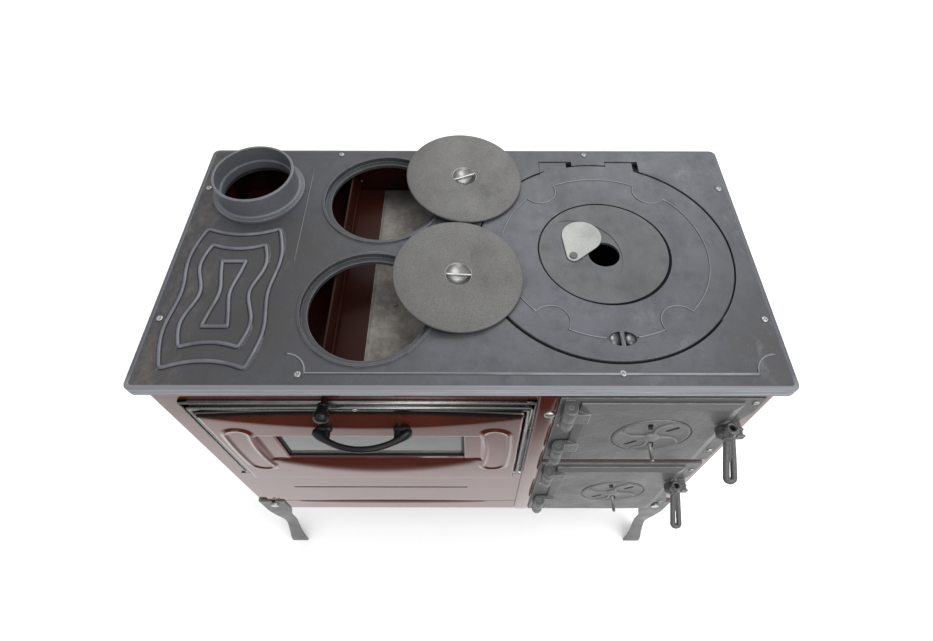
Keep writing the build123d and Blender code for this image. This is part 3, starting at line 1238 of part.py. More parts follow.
def cast_door(door, disc_drop, latch_drop):
    """A cast door with a sloping rim, a round pocket with vent slots, hinge leaves and a latch stud."""
    with BuildPart() as leaf:
        door_x = (CAST_DOOR_LEFT, CAST_DOOR_RIGHT)
        rim_depth = (FRAME_DEPTH - SEAT_GAP - CAST_DOOR_EDGE, FRAME_DEPTH - SEAT_GAP)
        slab(door_x, rim_depth, door)
        for plane_depth, inset in ((rim_depth[0], 0), (CAST_DOOR_FRONT_DEPTH, CAST_DOOR_BEVEL)):
            with BuildSketch(upright(plane_depth)):
                with Locations((sum(door_x) / 2, down(sum(door) / 2))):
                    Rectangle(door_x[1] - door_x[0] - 2 * inset, door[1] - door[0] - 2 * inset)
        loft()
        for barrel in barrels(*door)[1:3]:
            slab(
                (CAST_HINGE_X, CAST_DOOR_LEFT + CAST_DOOR_BEVEL + 4),
                (CAST_HINGE_DEPTH + 2, CAST_HINGE_DEPTH + BARREL_R),
                barrel,
            )
            bar_upright(CAST_HINGE_X, CAST_HINGE_DEPTH, barrel, BARREL_R)
            bar_upright(CAST_HINGE_X, CAST_HINGE_DEPTH, barrel, CAST_PIN_R + PIN_GAP, mode=Mode.SUBTRACT)
        # pocket and slots behind the vent disc, and the stud the disc turns on
        pocket_floor = CAST_DOOR_FRONT_DEPTH + DISC_POCKET_DEEP
        pocket = (CAST_DOOR_FRONT_DEPTH, pocket_floor)
        bar_along_y(DISC_X, disc_drop, DISC_POCKET_R, pocket, mode=Mode.SUBTRACT)
        with BuildSketch(upright(rim_depth[1])):
            add(vent_slots(disc_drop))
        extrude(amount=rim_depth[1] - pocket_floor, mode=Mode.SUBTRACT)
        bar_along_y(DISC_X, disc_drop, DISC_STUD_R, (disc_front - DISC_HUB_RISE / 2, pocket_floor))
        # boss, stud and rivet head for the latch
        bar_along_y(LATCH_X, latch_drop, LATCH_BOSS_R, (HUB_BACK_DEPTH + SEAT_GAP, rim_depth[1]))
        bar_along_y(LATCH_X, latch_drop, LATCH_STUD_R, (HUB_FRONT_DEPTH - SEAT_GAP, rim_depth[0]))
        stud_head = (HUB_FRONT_DEPTH - SEAT_GAP - STUD_HEAD_HIGH, HUB_FRONT_DEPTH - SEAT_GAP)
        bar_along_y(LATCH_X, latch_drop, STUD_HEAD_R, stud_head)
    return leaf.part


def vent_slots(disc_drop):
    """The ring of radial slots shared by a door and its vent disc."""
    with BuildSketch() as slots:
        with Locations((DISC_X, down(disc_drop))):
            with PolarLocations((DISC_SLOT_FROM + DISC_SLOT_TO) / 2, DISC_SLOTS, start_angle=DISC_SLOT_START):
                SlotOverall(DISC_SLOT_TO - DISC_SLOT_FROM, DISC_SLOT_WIDE)
    return slots.sketch


disc_back = CAST_DOOR_FRONT_DEPTH + DISC_POCKET_DEEP - SEAT_GAP
disc_front = disc_back - DISC_THICK


def vent_disc(disc_drop):
    """A round slotted disc with six ribs, a hub and a pin to turn it by."""
    with BuildPart() as disc:
        with BuildSketch(upright(disc_back)):
            with Locations((DISC_X, down(disc_drop))):
                Circle(DISC_R)
            add(vent_slots(disc_drop), mode=Mode.SUBTRACT)
        extrude(amount=DISC_THICK)
        rib_middle = (DISC_HUB_R + DISC_SLOT_TO) / 2
        first_rib = DISC_SLOT_START + 180 / DISC_SLOTS
        with BuildSketch(upright(disc_front)):
            with Locations((DISC_X, down(disc_drop))):
                with PolarLocations(rib_middle, DISC_SLOTS, start_angle=first_rib):
                    SlotOverall(DISC_SLOT_TO - DISC_HUB_R + DISC_RIB_WIDE, DISC_RIB_WIDE)
        extrude(amount=DISC_RIB_RISE)
        bar_along_y(DISC_X, disc_drop, DISC_HUB_R, (disc_front - DISC_HUB_RISE, disc_front))
        fillet(disc.edges().group_by(Axis.Y)[0], DISC_HUB_RISE / 2)
        pin = (disc_front - DISC_PIN_LONG, disc_front)
        bar_along_y(DISC_X + DISC_PIN_X, disc_drop + DISC_PIN_DOWN, DISC_PIN_R, pin)
        stud_bore = (disc_front - DISC_HUB_RISE / 2 - SEAT_GAP, disc_back)
        bar_along_y(DISC_X, disc_drop, DISC_STUD_R + PIN_GAP, stud_bore, mode=Mode.SUBTRACT)
    return disc.part


def latch(latch_drop):
    """A turning latch: hub, tongue to the right, eye on top and a long loop to pull."""
    with BuildPart() as casting:
        hub = (HUB_FRONT_DEPTH, HUB_BACK_DEPTH)
        bar_along_y(LATCH_X, latch_drop, HUB_R, hub)
        slab(
            (LATCH_X, LATCH_X + TONGUE_REACH),
            (TONGUE_FRONT_DEPTH, HUB_BACK_DEPTH),
            (latch_drop - TONGUE_HIGH / 2, latch_drop + TONGUE_HIGH / 2),
        )
        eye_drops = (latch_drop - EYE_UP, latch_drop - EYE_UP + EYE_HIGH)
        bar_upright(LATCH_X, EYE_DEPTH, eye_drops, EYE_R)
        # the loop: an oblong ring that leans forwards and down from the hub
        run = Vector(*LOOP_RUN).normalized()
        start = Vector(LATCH_X + 1, back(LOOP_START_DEPTH), down(latch_drop + LOOP_START_DOWN))
        ring_middle = start + run * (LOOP_LENGTH / 2)
        with BuildSketch(Plane(origin=ring_middle, x_dir=run, z_dir=run.cross(Vector(1, 0, 0)))):
            SlotCenterToCenter(LOOP_LENGTH, LOOP_OUTER)
            SlotCenterToCenter(LOOP_LENGTH, LOOP_OUTER - 2 * LOOP_STRAND, mode=Mode.SUBTRACT)
        extrude(amount=LOOP_STRAND / 2, both=True)
        bar_upright(LATCH_X, EYE_DEPTH, (eye_drops[0], eye_drops[1] - 2), EYE_HOLE_R, mode=Mode.SUBTRACT)
        past_hub = HUB_FRONT_DEPTH * 1.6
        head_room = STUD_HEAD_R + SLIDE_GAP / 2
        bar_along_y(LATCH_X, latch_drop, LATCH_STUD_R + PIN_GAP, (past_hub, 0), mode=Mode.SUBTRACT)
        bar_along_y(LATCH_X, latch_drop, head_room, (past_hub, HUB_FRONT_DEPTH), mode=Mode.SUBTRACT)
    return casting.part


frame_screw_head = (FRAME_DEPTH - FRAME_SCREW_HEAD_HIGH, FRAME_DEPTH)
with BuildPart() as frame_screws:
    for screw_x, screw_drop in FRAME_SCREWS:
        bar_along_y(screw_x, screw_drop, FRAME_SCREW_HEAD_R, frame_screw_head)
        bar_along_y(screw_x, screw_drop, FRAME_SCREW_R, (FRAME_DEPTH, front_sheet[1]))
    fillet(frame_screws.edges().group_by(Axis.Y)[0], 1)
keep(frame_screws.part, "frame_screws")

with BuildPart() as door_hinge_pins:
    for door in (FIRE_DOOR, ASH_DOOR):
        high, door_high, door_low, low = barrels(*door)
        bar_upright(CAST_HINGE_X, CAST_HINGE_DEPTH, (high[0], door_high[1]), CAST_PIN_R)
        bar_upright(CAST_HINGE_X, CAST_HINGE_DEPTH, (door_low[0], low[1]), CAST_PIN_R)
keep(door_hinge_pins.part, "door_hinge_pins")

for fire_name, edges, opening, door, waist, disc_drop, latch_drop in (
    ("fire", FIRE_FRAME, FIRE_OPENING, FIRE_DOOR, FIRE_WAIST, FIRE_DISC_DROP, FIRE_LATCH_DROP),
    ("ash", ASH_FRAME, ASH_OPENING, ASH_DOOR, ASH_WAIST, ASH_DISC_DROP, ASH_LATCH_DROP),
):
    screws = [screw for screw in FRAME_SCREWS if edges[0] < screw[1] < edges[1]]
    keep(cast_frame(edges, opening, door, waist, latch_drop, screws), f"{fire_name}_frame")
    keep(cast_door(door, disc_drop, latch_drop), f"{fire_name}_door")
    keep(vent_disc(disc_drop), f"{fire_name}_vent_disc")
    keep(latch(latch_drop), f"{fire_name}_latch")

# plate behind the fire door that keeps the heat off it, on four short studs
baffle_x = (OPENING_LEFT + BAFFLE_MARGIN, OPENING_RIGHT - BAFFLE_MARGIN)
baffle_drops = (FIRE_OPENING[0] + BAFFLE_MARGIN, FIRE_OPENING[1] - BAFFLE_MARGIN)
with BuildPart() as fire_door_baffle:
    slab(baffle_x, (BODY_SET_BACK, BODY_SET_BACK + BAFFLE_THICK), baffle_drops)
    for stud_x in (baffle_x[0] + BAFFLE_STUD_IN, baffle_x[1] - BAFFLE_STUD_IN):
        for stud_drop in (baffle_drops[0] + BAFFLE_STUD_IN, baffle_drops[1] - BAFFLE_STUD_IN):
            bar_along_y(stud_x, stud_drop, BAFFLE_STUD_R, (FRAME_DEPTH - SEAT_GAP, BODY_SET_BACK))
keep(fire_door_baffle.part, "fire_door_baffle")


# ------------------------------------------------------------------ legs
def leg(side, end):
    """A cast corner leg; side is -1 left or 1 right, end is -1 front or 1 rear."""
    corner_y = back(LEG_FRONT_DEPTH) if end < 0 else back(PLATE_DEPTH - LEG_FRONT_DEPTH)
    with BuildPart() as casting:
        for section_drop, lean, web in LEG_SECTIONS:
            x, y = side * (LEG_OUT_X - lean), corner_y - end * lean
            with BuildSketch(level(section_drop)):
                with BuildLine():
                    Polyline(
                        (x, y),
                        (x - side * web, y),
                        (x - side * web, y - end * LEG_THICK),
                        (x - side * LEG_THICK, y - end * LEG_THICK),
                        (x - side * LEG_THICK, y - end * web),
                        (x, y - end * web),
                        close=True,
                    )
                make_face()
        loft(ruled=True)
        slot = (LEG_TOP_DROP, leg_bolt_drop + LEG_BOLT_R + PIN_GAP)
        x, depth = side * LEG_OUT_X, LEG_FRONT_DEPTH if end < 0 else PLATE_DEPTH - LEG_FRONT_DEPTH
        slab(
            (side * leg_bolt_x - LEG_SLOT_WIDE / 2, side * leg_bolt_x + LEG_SLOT_WIDE / 2),
            sorted((depth, depth - end * LEG_THICK)),
            slot,
            mode=Mode.SUBTRACT,
        )
        bolt_depth = depth - end * LEG_BOLT_IN
        slab(
            sorted((x, x - side * LEG_THICK)),
            (bolt_depth - LEG_SLOT_WIDE / 2, bolt_depth + LEG_SLOT_WIDE / 2),
            slot,
            mode=Mode.SUBTRACT,
        )
    return casting.part


for leg_name, side, end in (
    ("front_left", -1, -1),
    ("front_right", 1, -1),
    ("rear_left", -1, 1),
    ("rear_right", 1, 1),
):
    keep(leg(side, end), f"{leg_name}_leg")

with BuildPart() as leg_bolts:
    for side in (-1, 1):
        for depth, end in ((LEG_FRONT_DEPTH, -1), (PLATE_DEPTH - LEG_FRONT_DEPTH, 1)):
            out_x = side * LEG_OUT_X
            head = sorted((depth, depth + end * LEG_BOLT_HEAD_HIGH))
            shank = sorted((depth, depth - end * LEG_BOLT_LONG))
            bar_along_y(side * leg_bolt_x, leg_bolt_drop, LEG_BOLT_HEAD_R, head)
            bar_along_y(side * leg_bolt_x, leg_bolt_drop, LEG_BOLT_R, shank)
            bolt_depth = depth - end * LEG_BOLT_IN
            head = sorted((out_x, out_x + side * LEG_BOLT_HEAD_HIGH))
            shank = sorted((out_x, out_x - side * LEG_BOLT_LONG))
            bar_along_x(head, bolt_depth, leg_bolt_drop, LEG_BOLT_HEAD_R)
            bar_along_x(shank, bolt_depth, leg_bolt_drop, LEG_BOLT_R)
keep(leg_bolts.part, "leg_bolts")
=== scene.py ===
"""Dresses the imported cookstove: finishes, pressed enamel, rounded castings, camera and light."""
import json
import logging
from dataclasses import dataclass
from enum import Enum
from math import atan2, cos, degrees, pi, radians, sin, sqrt

import bmesh
import bpy
import numpy as np
from mathutils import Matrix, Vector


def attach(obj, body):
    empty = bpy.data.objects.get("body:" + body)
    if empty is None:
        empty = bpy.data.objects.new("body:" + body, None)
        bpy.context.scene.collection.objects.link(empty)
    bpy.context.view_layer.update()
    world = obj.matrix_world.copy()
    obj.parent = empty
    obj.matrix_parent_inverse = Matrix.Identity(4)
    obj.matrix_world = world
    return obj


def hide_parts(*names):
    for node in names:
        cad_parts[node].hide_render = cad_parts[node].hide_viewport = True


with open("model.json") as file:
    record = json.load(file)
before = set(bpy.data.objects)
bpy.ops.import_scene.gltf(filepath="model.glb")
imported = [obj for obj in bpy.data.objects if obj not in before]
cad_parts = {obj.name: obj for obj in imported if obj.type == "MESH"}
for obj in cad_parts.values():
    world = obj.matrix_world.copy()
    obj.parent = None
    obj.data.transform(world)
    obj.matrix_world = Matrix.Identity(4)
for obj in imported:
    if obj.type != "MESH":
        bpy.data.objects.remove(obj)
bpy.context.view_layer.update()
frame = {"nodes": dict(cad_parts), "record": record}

log = logging.getLogger("cookstove")

Colour = tuple[float, float, float]
Pair = tuple[float, float]
Triple = tuple[float, float, float]
Socket = bpy.types.NodeSocket
Piece = bpy.types.Object

MM = 0.001
TOP_HEIGHT = 850.0
FRONT_EDGE_Y = -200.4
UP = Vector((0, 0, 1))
DOWN = Vector((0, 0, -1))
FRONT = Vector((0, -1, 0))
BACK = Vector((0, 1, 0))
RIGHT = Vector((1, 0, 0))


def spot(x: float, depth: float, drop: float) -> Vector:
    """Give the point at plate measures in millimetres as a place in the scene.

    Args:
        x: from the middle of the cooking plate to the right.
        depth: behind the front edge of the cooking plate.
        drop: below the cooking surface.

    Returns:
        The point in metres.
    """
    return Vector((x, FRONT_EDGE_Y + depth, TOP_HEIGHT - drop)) * MM


# ------------------------------------------------------------------ finishes
class Recipe:
    """The nodes of one material, built up from grain, clouds, ramps and relief."""

    def __init__(self, name: str) -> None:
        """Start a material with one Principled surface.

        Args:
            name: the material's name.
        """
        self.material = bpy.data.materials.new(name)
        self.material.use_nodes = True
        tree = self.material.node_tree
        tree.nodes.clear()
        self.nodes = tree.nodes
        self.links = tree.links
        self.output = self.nodes.new("ShaderNodeOutputMaterial")
        self.surface = self.nodes.new("ShaderNodeBsdfPrincipled")
        self.links.new(self.surface.outputs["BSDF"], self.output.inputs["Surface"])
        self.place = self.nodes.new("ShaderNodeTexCoord").outputs["Object"]

    def set(self, **values: float | tuple[float, float, float, float]) -> None:
        """Set plain numbers or colours on the surface's own sockets, underscores standing for spaces."""
        for name, value in values.items():
            self.surface.inputs[name.replace("_", " ")].default_value = value

    def feed(self, name: str, socket: Socket) -> None:
        """Link a socket into one of the surface's inputs."""
        self.links.new(socket, self.surface.inputs[name])

    def stretched(self, along: Triple) -> Socket:
        """Give the object's coordinates stretched by three factors.

        Args:
            along: the factor for x, y and z.

        Returns:
            The stretched coordinates.
        """
        node = self.nodes.new("ShaderNodeMapping")
        node.inputs["Scale"].default_value = along
        self.links.new(self.place, node.inputs["Vector"])
        return node.outputs["Vector"]

    def facing(self, axis: str) -> Socket:
        """Give one part of the surface's direction.

        Args:
            axis: X, Y or Z.

        Returns:
            The socket with that part, from -1 to 1.
        """
        split = self.nodes.new("ShaderNodeSeparateXYZ")
        self.links.new(self.nodes.new("ShaderNodeTexCoord").outputs["Normal"], split.inputs[0])
        return split.outputs[axis]

    def along(self, axis: str) -> Socket:
        """Give the object's own coordinate along one axis.

        Args:
            axis: X, Y or Z.

        Returns:
            The coordinate in metres.
        """
        split = self.nodes.new("ShaderNodeSeparateXYZ")
        self.links.new(self.place, split.inputs[0])
        return split.outputs[axis]

    def product(self, one: Socket, two: Socket) -> Socket:
        """Multiply two values.

        Args:
            one: the first value.
            two: the second value.

        Returns:
            Their product.
        """
        node = self.nodes.new("ShaderNodeMath")
        node.operation = "MULTIPLY"
        self.links.new(one, node.inputs[0])
        self.links.new(two, node.inputs[1])
        return node.outputs[0]

    def clouds(
        self, scale: float, detail: float = 3.0, rough: float = 0.5, where: Socket | None = None
    ) -> Socket:
        """Give a cloudy noise.

        Args:
            scale: how many clouds to a metre.
            detail: octaves of finer clouds.
            rough: weight of the finer clouds.
            where: coordinates, or None for the object's own.

        Returns:
            The noise between 0 and 1.
        """
        node = self.nodes.new("ShaderNodeTexNoise")
        node.inputs["Scale"].default_value = scale
        node.inputs["Detail"].default_value = detail
        node.inputs["Roughness"].default_value = rough
        self.links.new(where or self.place, node.inputs["Vector"])
        return node.outputs["Fac"]

    def cells(self, scale: float) -> Socket:
        """Give the distance to the nearest of many scattered points.

        Args:
            scale: how many cells to a metre.

        Returns:
            The distance, smoothed so that hammer marks stay soft.
        """
        node = self.nodes.new("ShaderNodeTexVoronoi")
        node.feature = "SMOOTH_F1"
        node.inputs["Scale"].default_value = scale
        node.inputs["Smoothness"].default_value = 0.6
        self.links.new(self.place, node.inputs["Vector"])
        return node.outputs["Distance"]

    def ramp(self, value: Socket, stops: list[tuple[float, Colour]]) -> Socket:
        """Turn a value into a colour.

        Args:
            value: what is looked up.
            stops: places between 0 and 1 with their colours.

        Returns:
            The colour.
        """
        node = self.nodes.new("ShaderNodeValToRGB")
        elements = node.color_ramp.elements
        while len(elements) < len(stops):
            elements.new(0.5)
        for element, (place, colour) in zip(elements, stops):
            element.position = place
            element.color = (*colour, 1.0)
        self.links.new(value, node.inputs["Fac"])
        return node.outputs["Color"]

    def grade(self, value: Socket, given: Pair, wanted: Pair) -> Socket:
        """Map a value from one range to another and clamp it.

        Args:
            value: what is mapped.
            given: the range it comes in.
            wanted: the range it goes out in.

        Returns:
            The mapped value.
        """
        node = self.nodes.new("ShaderNodeMapRange")
        for name, number in zip(("From Min", "From Max", "To Min", "To Max"), (*given, *wanted)):
            node.inputs[name].default_value = number
        self.links.new(value, node.inputs["Value"])
        return node.outputs["Result"]

    def blend(
        self,
        share: Socket,
        first: Socket | Colour,
        second: Socket | Colour,
        kind: str = "MIX",
    ) -> Socket:
        """Blend two colours.

        Args:
            share: how much of the second one shows.
            first: the colour underneath.
            second: the colour on top.
            kind: Blender's blend type.

        Returns:
            The blended colour.
        """
        node = self.nodes.new("ShaderNodeMix")
        node.data_type = "RGBA"
        node.blend_type = kind
        self.links.new(share, node.inputs["Factor"])
        for socket, colour in zip([s for s in node.inputs if s.type == "RGBA"], (first, second)):
            if isinstance(colour, Socket):
                self.links.new(colour, socket)
            else:
                socket.default_value = (*colour, 1.0)
        return next(s for s in node.outputs if s.type == "RGBA")

    def over(
        self,
        tone: Socket | Colour,
        colour: Socket | Colour,
        value: Socket,
        given: Pair,
        most: float = 1.0,
    ) -> Socket:
        """Lay a colour over a tone where a value is high.

        Args:
            tone: what lies underneath.
            colour: what lies on top.
            value: the value that decides.
            given: where the value starts and where it stops to count.
            most: how much of the colour shows where it is densest.

        Returns:
            The blended colour.
        """
        return self.blend(self.grade(value, given, (0.0, most)), tone, colour)

    def shaded(self, tone: Socket | Colour, value: Socket, low: Pair, high: Pair) -> Socket:
        """Darken and lighten a tone by a value.

        Args:
            tone: the colour that is changed.
            value: the value that decides.
            low: a place between 0 and 1 and the factor of the tone there.
            high: a higher place and its factor.

        Returns:
            The changed colour.
        """
        shades = self.ramp(value, [(place, (factor, factor, factor)) for place, factor in (low, high)])
        return self.blend(self.grade(value, (-1.0, 0.0), (1.0, 1.0)), tone, shades, "MULTIPLY")

    def soft_edges(self, radius: float) -> tuple[Socket, Socket]:
        """Round the edges of the shading.

        Args:
            radius: the radius of the rounding in metres.

        Returns:
            The rounded normal, and a mask that is 1 along the edges.
        """
        bevel = self.nodes.new("ShaderNodeBevel")
        bevel.samples = 4
        bevel.inputs["Radius"].default_value = radius
        geometry = self.nodes.new("ShaderNodeNewGeometry")
        dot = self.nodes.new("ShaderNodeVectorMath")
        dot.operation = "DOT_PRODUCT"
        self.links.new(bevel.outputs["Normal"], dot.inputs[0])
        self.links.new(geometry.outputs["Normal"], dot.inputs[1])
        return bevel.outputs["Normal"], self.grade(dot.outputs["Value"], (0.995, 0.86), (0.0, 1.0))

    def relief(
        self, layers: list[tuple[Socket, float]], normal: Socket | None = None
    ) -> None:
        """Lay bumps over each other and feed them to the surface.

        Args:
            layers: heights between 0 and 1, each with its depth in metres.
            normal: the normal under the first layer.
        """
        for height, depth in layers:
            bump = self.nodes.new("ShaderNodeBump")
            bump.inputs["Strength"].default_value = 1.0
            bump.inputs["Distance"].default_value = depth
            self.links.new(height, bump.inputs["Height"])
            if normal is not None:
                self.links.new(normal, bump.inputs["Normal"])
            normal = bump.outputs["Normal"]
        self.feed("Normal", normal)


LEFT_SHADE_IRON = (0.029, 0.0268, 0.0255)
RUSTY_IRON = (0.13, 0.104, 0.094)
TOP_SHADOW_ENAMEL = (0.003, 0.002, 0.0015)
DARK_BACK_SHEET = (0.006, 0.005, 0.0045)


@dataclass(frozen=True)
class CastIron:
    """Grey cast iron: clouds of tone, casting grain, hammered relief, rubbed edges lightened as wear and as painted
    highlight, and on used plates a painted shade to the left.
    """

    name: str
    tone: Colour
    patch: Colour
    worn_and_highlight: Colour
    rough: Pair = (0.42, 0.6)
    metal: float = 0.35
    grain: float = 900.0
    grain_depth: float = 0.00006
    hammer: float = 0.0
    hammer_depth: float = 0.0003
    speck: float = 0.35
    edge: float = 0.0012
    scuff_and_side_shade: float = 0.0

    def material(self) -> bpy.types.Material:
        """Build the material.

        Returns:
            The finished material.
        """
        recipe = Recipe(self.name)
        cloud = recipe.clouds(5.0, 4.0, 0.55)
        tone = recipe.over(self.tone, self.patch, cloud, (0.4, 0.68))
        stain = recipe.clouds(23.0, 6.0, 0.65, recipe.stretched((1.0, 0.7, 1.0)))
        stained = tuple(0.72 * c for c in self.tone)
        tone = recipe.over(tone, stained, stain, (0.56, 0.74), 0.6)
        grain = recipe.clouds(self.grain, 4.0, 0.65)
        tone = recipe.shaded(tone, grain, (0.3, 1.0 - self.speck), (0.7, 1.0 + self.speck))
        if self.scuff_and_side_shade:
            tone = self.marked_and_side_shaded(recipe, tone)
        normal, edges = recipe.soft_edges(self.edge)
        # the edges are lightened as rubbed wear and as painted highlight lines
        rubbed = recipe.clouds(60.0, 3.0, 0.6)
        worn_and_highlit_edges = recipe.product(edges, recipe.grade(rubbed, (0.35, 0.6), (0.25, 0.85)))
        recipe.feed("Base Color", recipe.blend(worn_and_highlit_edges, tone, self.worn_and_highlight))
        recipe.feed("Roughness", recipe.grade(stain, (0.3, 0.7), self.rough))
        recipe.set(Metallic=self.metal)
        layers = [(grain, self.grain_depth)]
        if self.hammer:
            layers.insert(0, (recipe.cells(self.hammer), self.hammer_depth))
        recipe.relief(layers, normal)
        return recipe.material

    def marked_and_side_shaded(self, recipe: Recipe, tone: Socket) -> Socket:
        """Give the tone marks of use and a painted shade: darker to the left as painted shade, scuffs to the right,
        rust at the left edge.

        Args:
            recipe: the material that is being built.
            tone: the clean tone.

        Returns:
            The marked tone.
        """
        mottle = recipe.clouds(48.0, 6.0, 0.7)
        tone = recipe.over(tone, tuple(0.62 * c for c in self.tone), mottle, (0.5, 0.7), 0.75)
        across = recipe.along("X")
        # painted shade: the tone darkens towards the left side of the plate
        tone = recipe.over(tone, LEFT_SHADE_IRON, across, (-0.06, -0.44), 0.72)
        streak = recipe.clouds(17.0, 9.0, 0.85, recipe.stretched((1.5, 0.9, 1.0)))
        near = recipe.grade(across, (0.1, 0.42), (0.35, 1.0))
        scuffed = recipe.product(near, recipe.grade(streak, (0.55, 0.72), (0.0, self.scuff_and_side_shade)))
        tone = recipe.blend(scuffed, tone, self.worn_and_highlight)
        outer = recipe.grade(across, (-0.35, -0.43), (0.0, 1.0))
        rust = recipe.product(outer, recipe.grade(streak, (0.46, 0.66), (0.0, 0.7)))
        return recipe.blend(rust, tone, RUSTY_IRON)


@dataclass(frozen=True)
class RubbedRidgeWithPaintedShade:
    """Cast lines on the plate: a dark foot as painted shade, and a crest lightened as rubbed wear and as painted
    light, with left-facing sides kept dark as painted shade.
    """

    name: str
    foot: Colour
    crest: Colour
    heights: Pair = (0.8501, 0.8521)

    def material(self) -> bpy.types.Material:
        """Build the material.

        Returns:
            The finished material.
        """
        recipe = Recipe(self.name)
        rise = recipe.grade(recipe.along("Z"), self.heights, (0.0, 1.0))
        wear = recipe.clouds(24.0, 5.0, 0.6)
        # painted light and shade: faces that look left keep the dark foot colour, other faces of the crest are
        # lightened
        painted_light_side = recipe.grade(recipe.facing("X"), (-0.45, 0.02), (0.0, 1.0))
        share = recipe.product(recipe.product(rise, painted_light_side), recipe.grade(wear, (0.35, 0.62), (0.5, 1.0)))
        recipe.feed("Base Color", recipe.blend(share, self.foot, self.crest))
        recipe.feed("Roughness", recipe.grade(wear, (0.3, 0.7), (0.36, 0.55)))
        recipe.set(Metallic=0.35)
        recipe.relief([(recipe.clouds(700.0, 4.0, 0.65), 0.00008)])
        return recipe.material


@dataclass(frozen=True)
class RubbedNoseWithTopShade:
    """The plate's rolled edge: rubbed bright in lengthwise streaks at the front, as cast elsewhere, with faces that
    look up darkened as painted shade.
    """

    name: str
    cast: Colour
    rubbed: Colour
    dull: Colour
    painted_top_shade: Colour
    front: Pair = (-0.193, -0.178)

    def material(self) -> bpy.types.Material:
        """Build the material.

        Returns:
            The finished material.
        """
        recipe = Recipe(self.name)
        streak = recipe.clouds(1.0, 4.0, 0.65, recipe.stretched((9.0, 9.0, 330.0)))
        bright = recipe.over(self.dull, self.rubbed, streak, (0.36, 0.64))
        grain = recipe.clouds(600.0, 4.0, 0.65)
        bright = recipe.over(bright, self.dull, grain, (0.5, 0.75), 0.55)
        # painted shade: faces that look up get the darker top colour
        bright = recipe.over(bright, self.painted_top_shade, recipe.facing("Z"), (0.1, 0.75))
        recipe.feed("Base Color", recipe.over(bright, self.cast, recipe.along("Y"), self.front))
        recipe.feed("Roughness", recipe.grade(streak, (0.3, 0.7), (0.55, 0.38)))
        recipe.set(Metallic=0.15)
        recipe.relief([(streak, 0.0001), (grain, 0.00006)])
        return recipe.material


@dataclass(frozen=True)
class Enamel:
    """Glossy fired enamel over pressed sheet, with orange peel, a little dust and, where given, a painted shadow band
    along the top.
    """

    name: str
    tone: Colour
    depth_tone: Colour
    rough: Pair = (0.05, 0.11)
    peel: float = 0.0006
    dust: float = 0.1
    coat: float = 0.5
    gloss: float = 0.5
    edge: float = 0.0012
    top_shadow: Pair | None = None

    def material(self) -> bpy.types.Material:
        """Build the material.

        Returns:
            The finished material.
        """
        recipe = Recipe(self.name)
        pool = recipe.clouds(9.0, 3.0, 0.5)
        tone = recipe.over(self.tone, self.depth_tone, pool, (0.35, 0.65))
        dust = recipe.clouds(420.0, 5.0, 0.75)
        dusty = tuple(min(1.0, 2.6 * c + 0.05) for c in self.tone)
        tone = recipe.over(tone, dusty, dust, (0.62, 0.8), self.dust)
        # painted shadow: a near-black band along the door's top edge, under the trim
        if self.top_shadow:
            tone = recipe.over(tone, TOP_SHADOW_ENAMEL, recipe.along("Z"), self.top_shadow, 0.92)
        normal, edges = recipe.soft_edges(self.edge)
        rim = tuple(0.55 * c for c in self.tone)
        recipe.feed("Base Color", recipe.over(tone, rim, edges, (0.0, 1.0), 0.5))
        recipe.feed("Roughness", recipe.grade(recipe.clouds(30.0, 4.0, 0.6), (0.3, 0.7), self.rough))
        recipe.set(IOR=1.55, Specular_IOR_Level=self.gloss)
        recipe.set(Coat_Weight=self.coat, Coat_Roughness=0.03, Coat_IOR=1.6)
        recipe.set(Specular_Tint=(1.0, 0.88, 0.85, 1.0), Coat_Tint=(1.0, 0.93, 0.91, 1.0))
        waves, pinholes = recipe.clouds(14.0, 1.0, 0.3), recipe.clouds(320.0, 2.0, 0.5)
        recipe.relief([(waves, self.peel), (pinholes, 0.000008)], normal)
        return recipe.material


@dataclass(frozen=True)
class Plating:
    """Bright plated metal with fine draw lines, tarnish spots and soft edges."""

    name: str
    tone: Colour
    tarnish: Colour
    rough: Pair = (0.12, 0.26)
    lines: Triple = (6.0, 900.0, 900.0)
    line_depth: float = 0.00001
    edge: float = 0.0008

    def material(self) -> bpy.types.Material:
        """Build the material.

        Returns:
            The finished material.
        """
        recipe = Recipe(self.name)
        spots = recipe.clouds(70.0, 5.0, 0.7)
        tone = recipe.over(self.tone, self.tarnish, spots, (0.5, 0.75), 0.9)
        draw = recipe.clouds(1.0, 2.0, 0.6, recipe.stretched(self.lines))
        recipe.feed("Base Color", recipe.shaded(tone, draw, (0.35, 0.86), (0.65, 1.0)))
        recipe.feed("Roughness", recipe.grade(spots, (0.3, 0.7), self.rough))
        recipe.set(Metallic=1.0)
        normal, _ = recipe.soft_edges(self.edge)
        recipe.relief([(draw, self.line_depth)], normal)
        return recipe.material


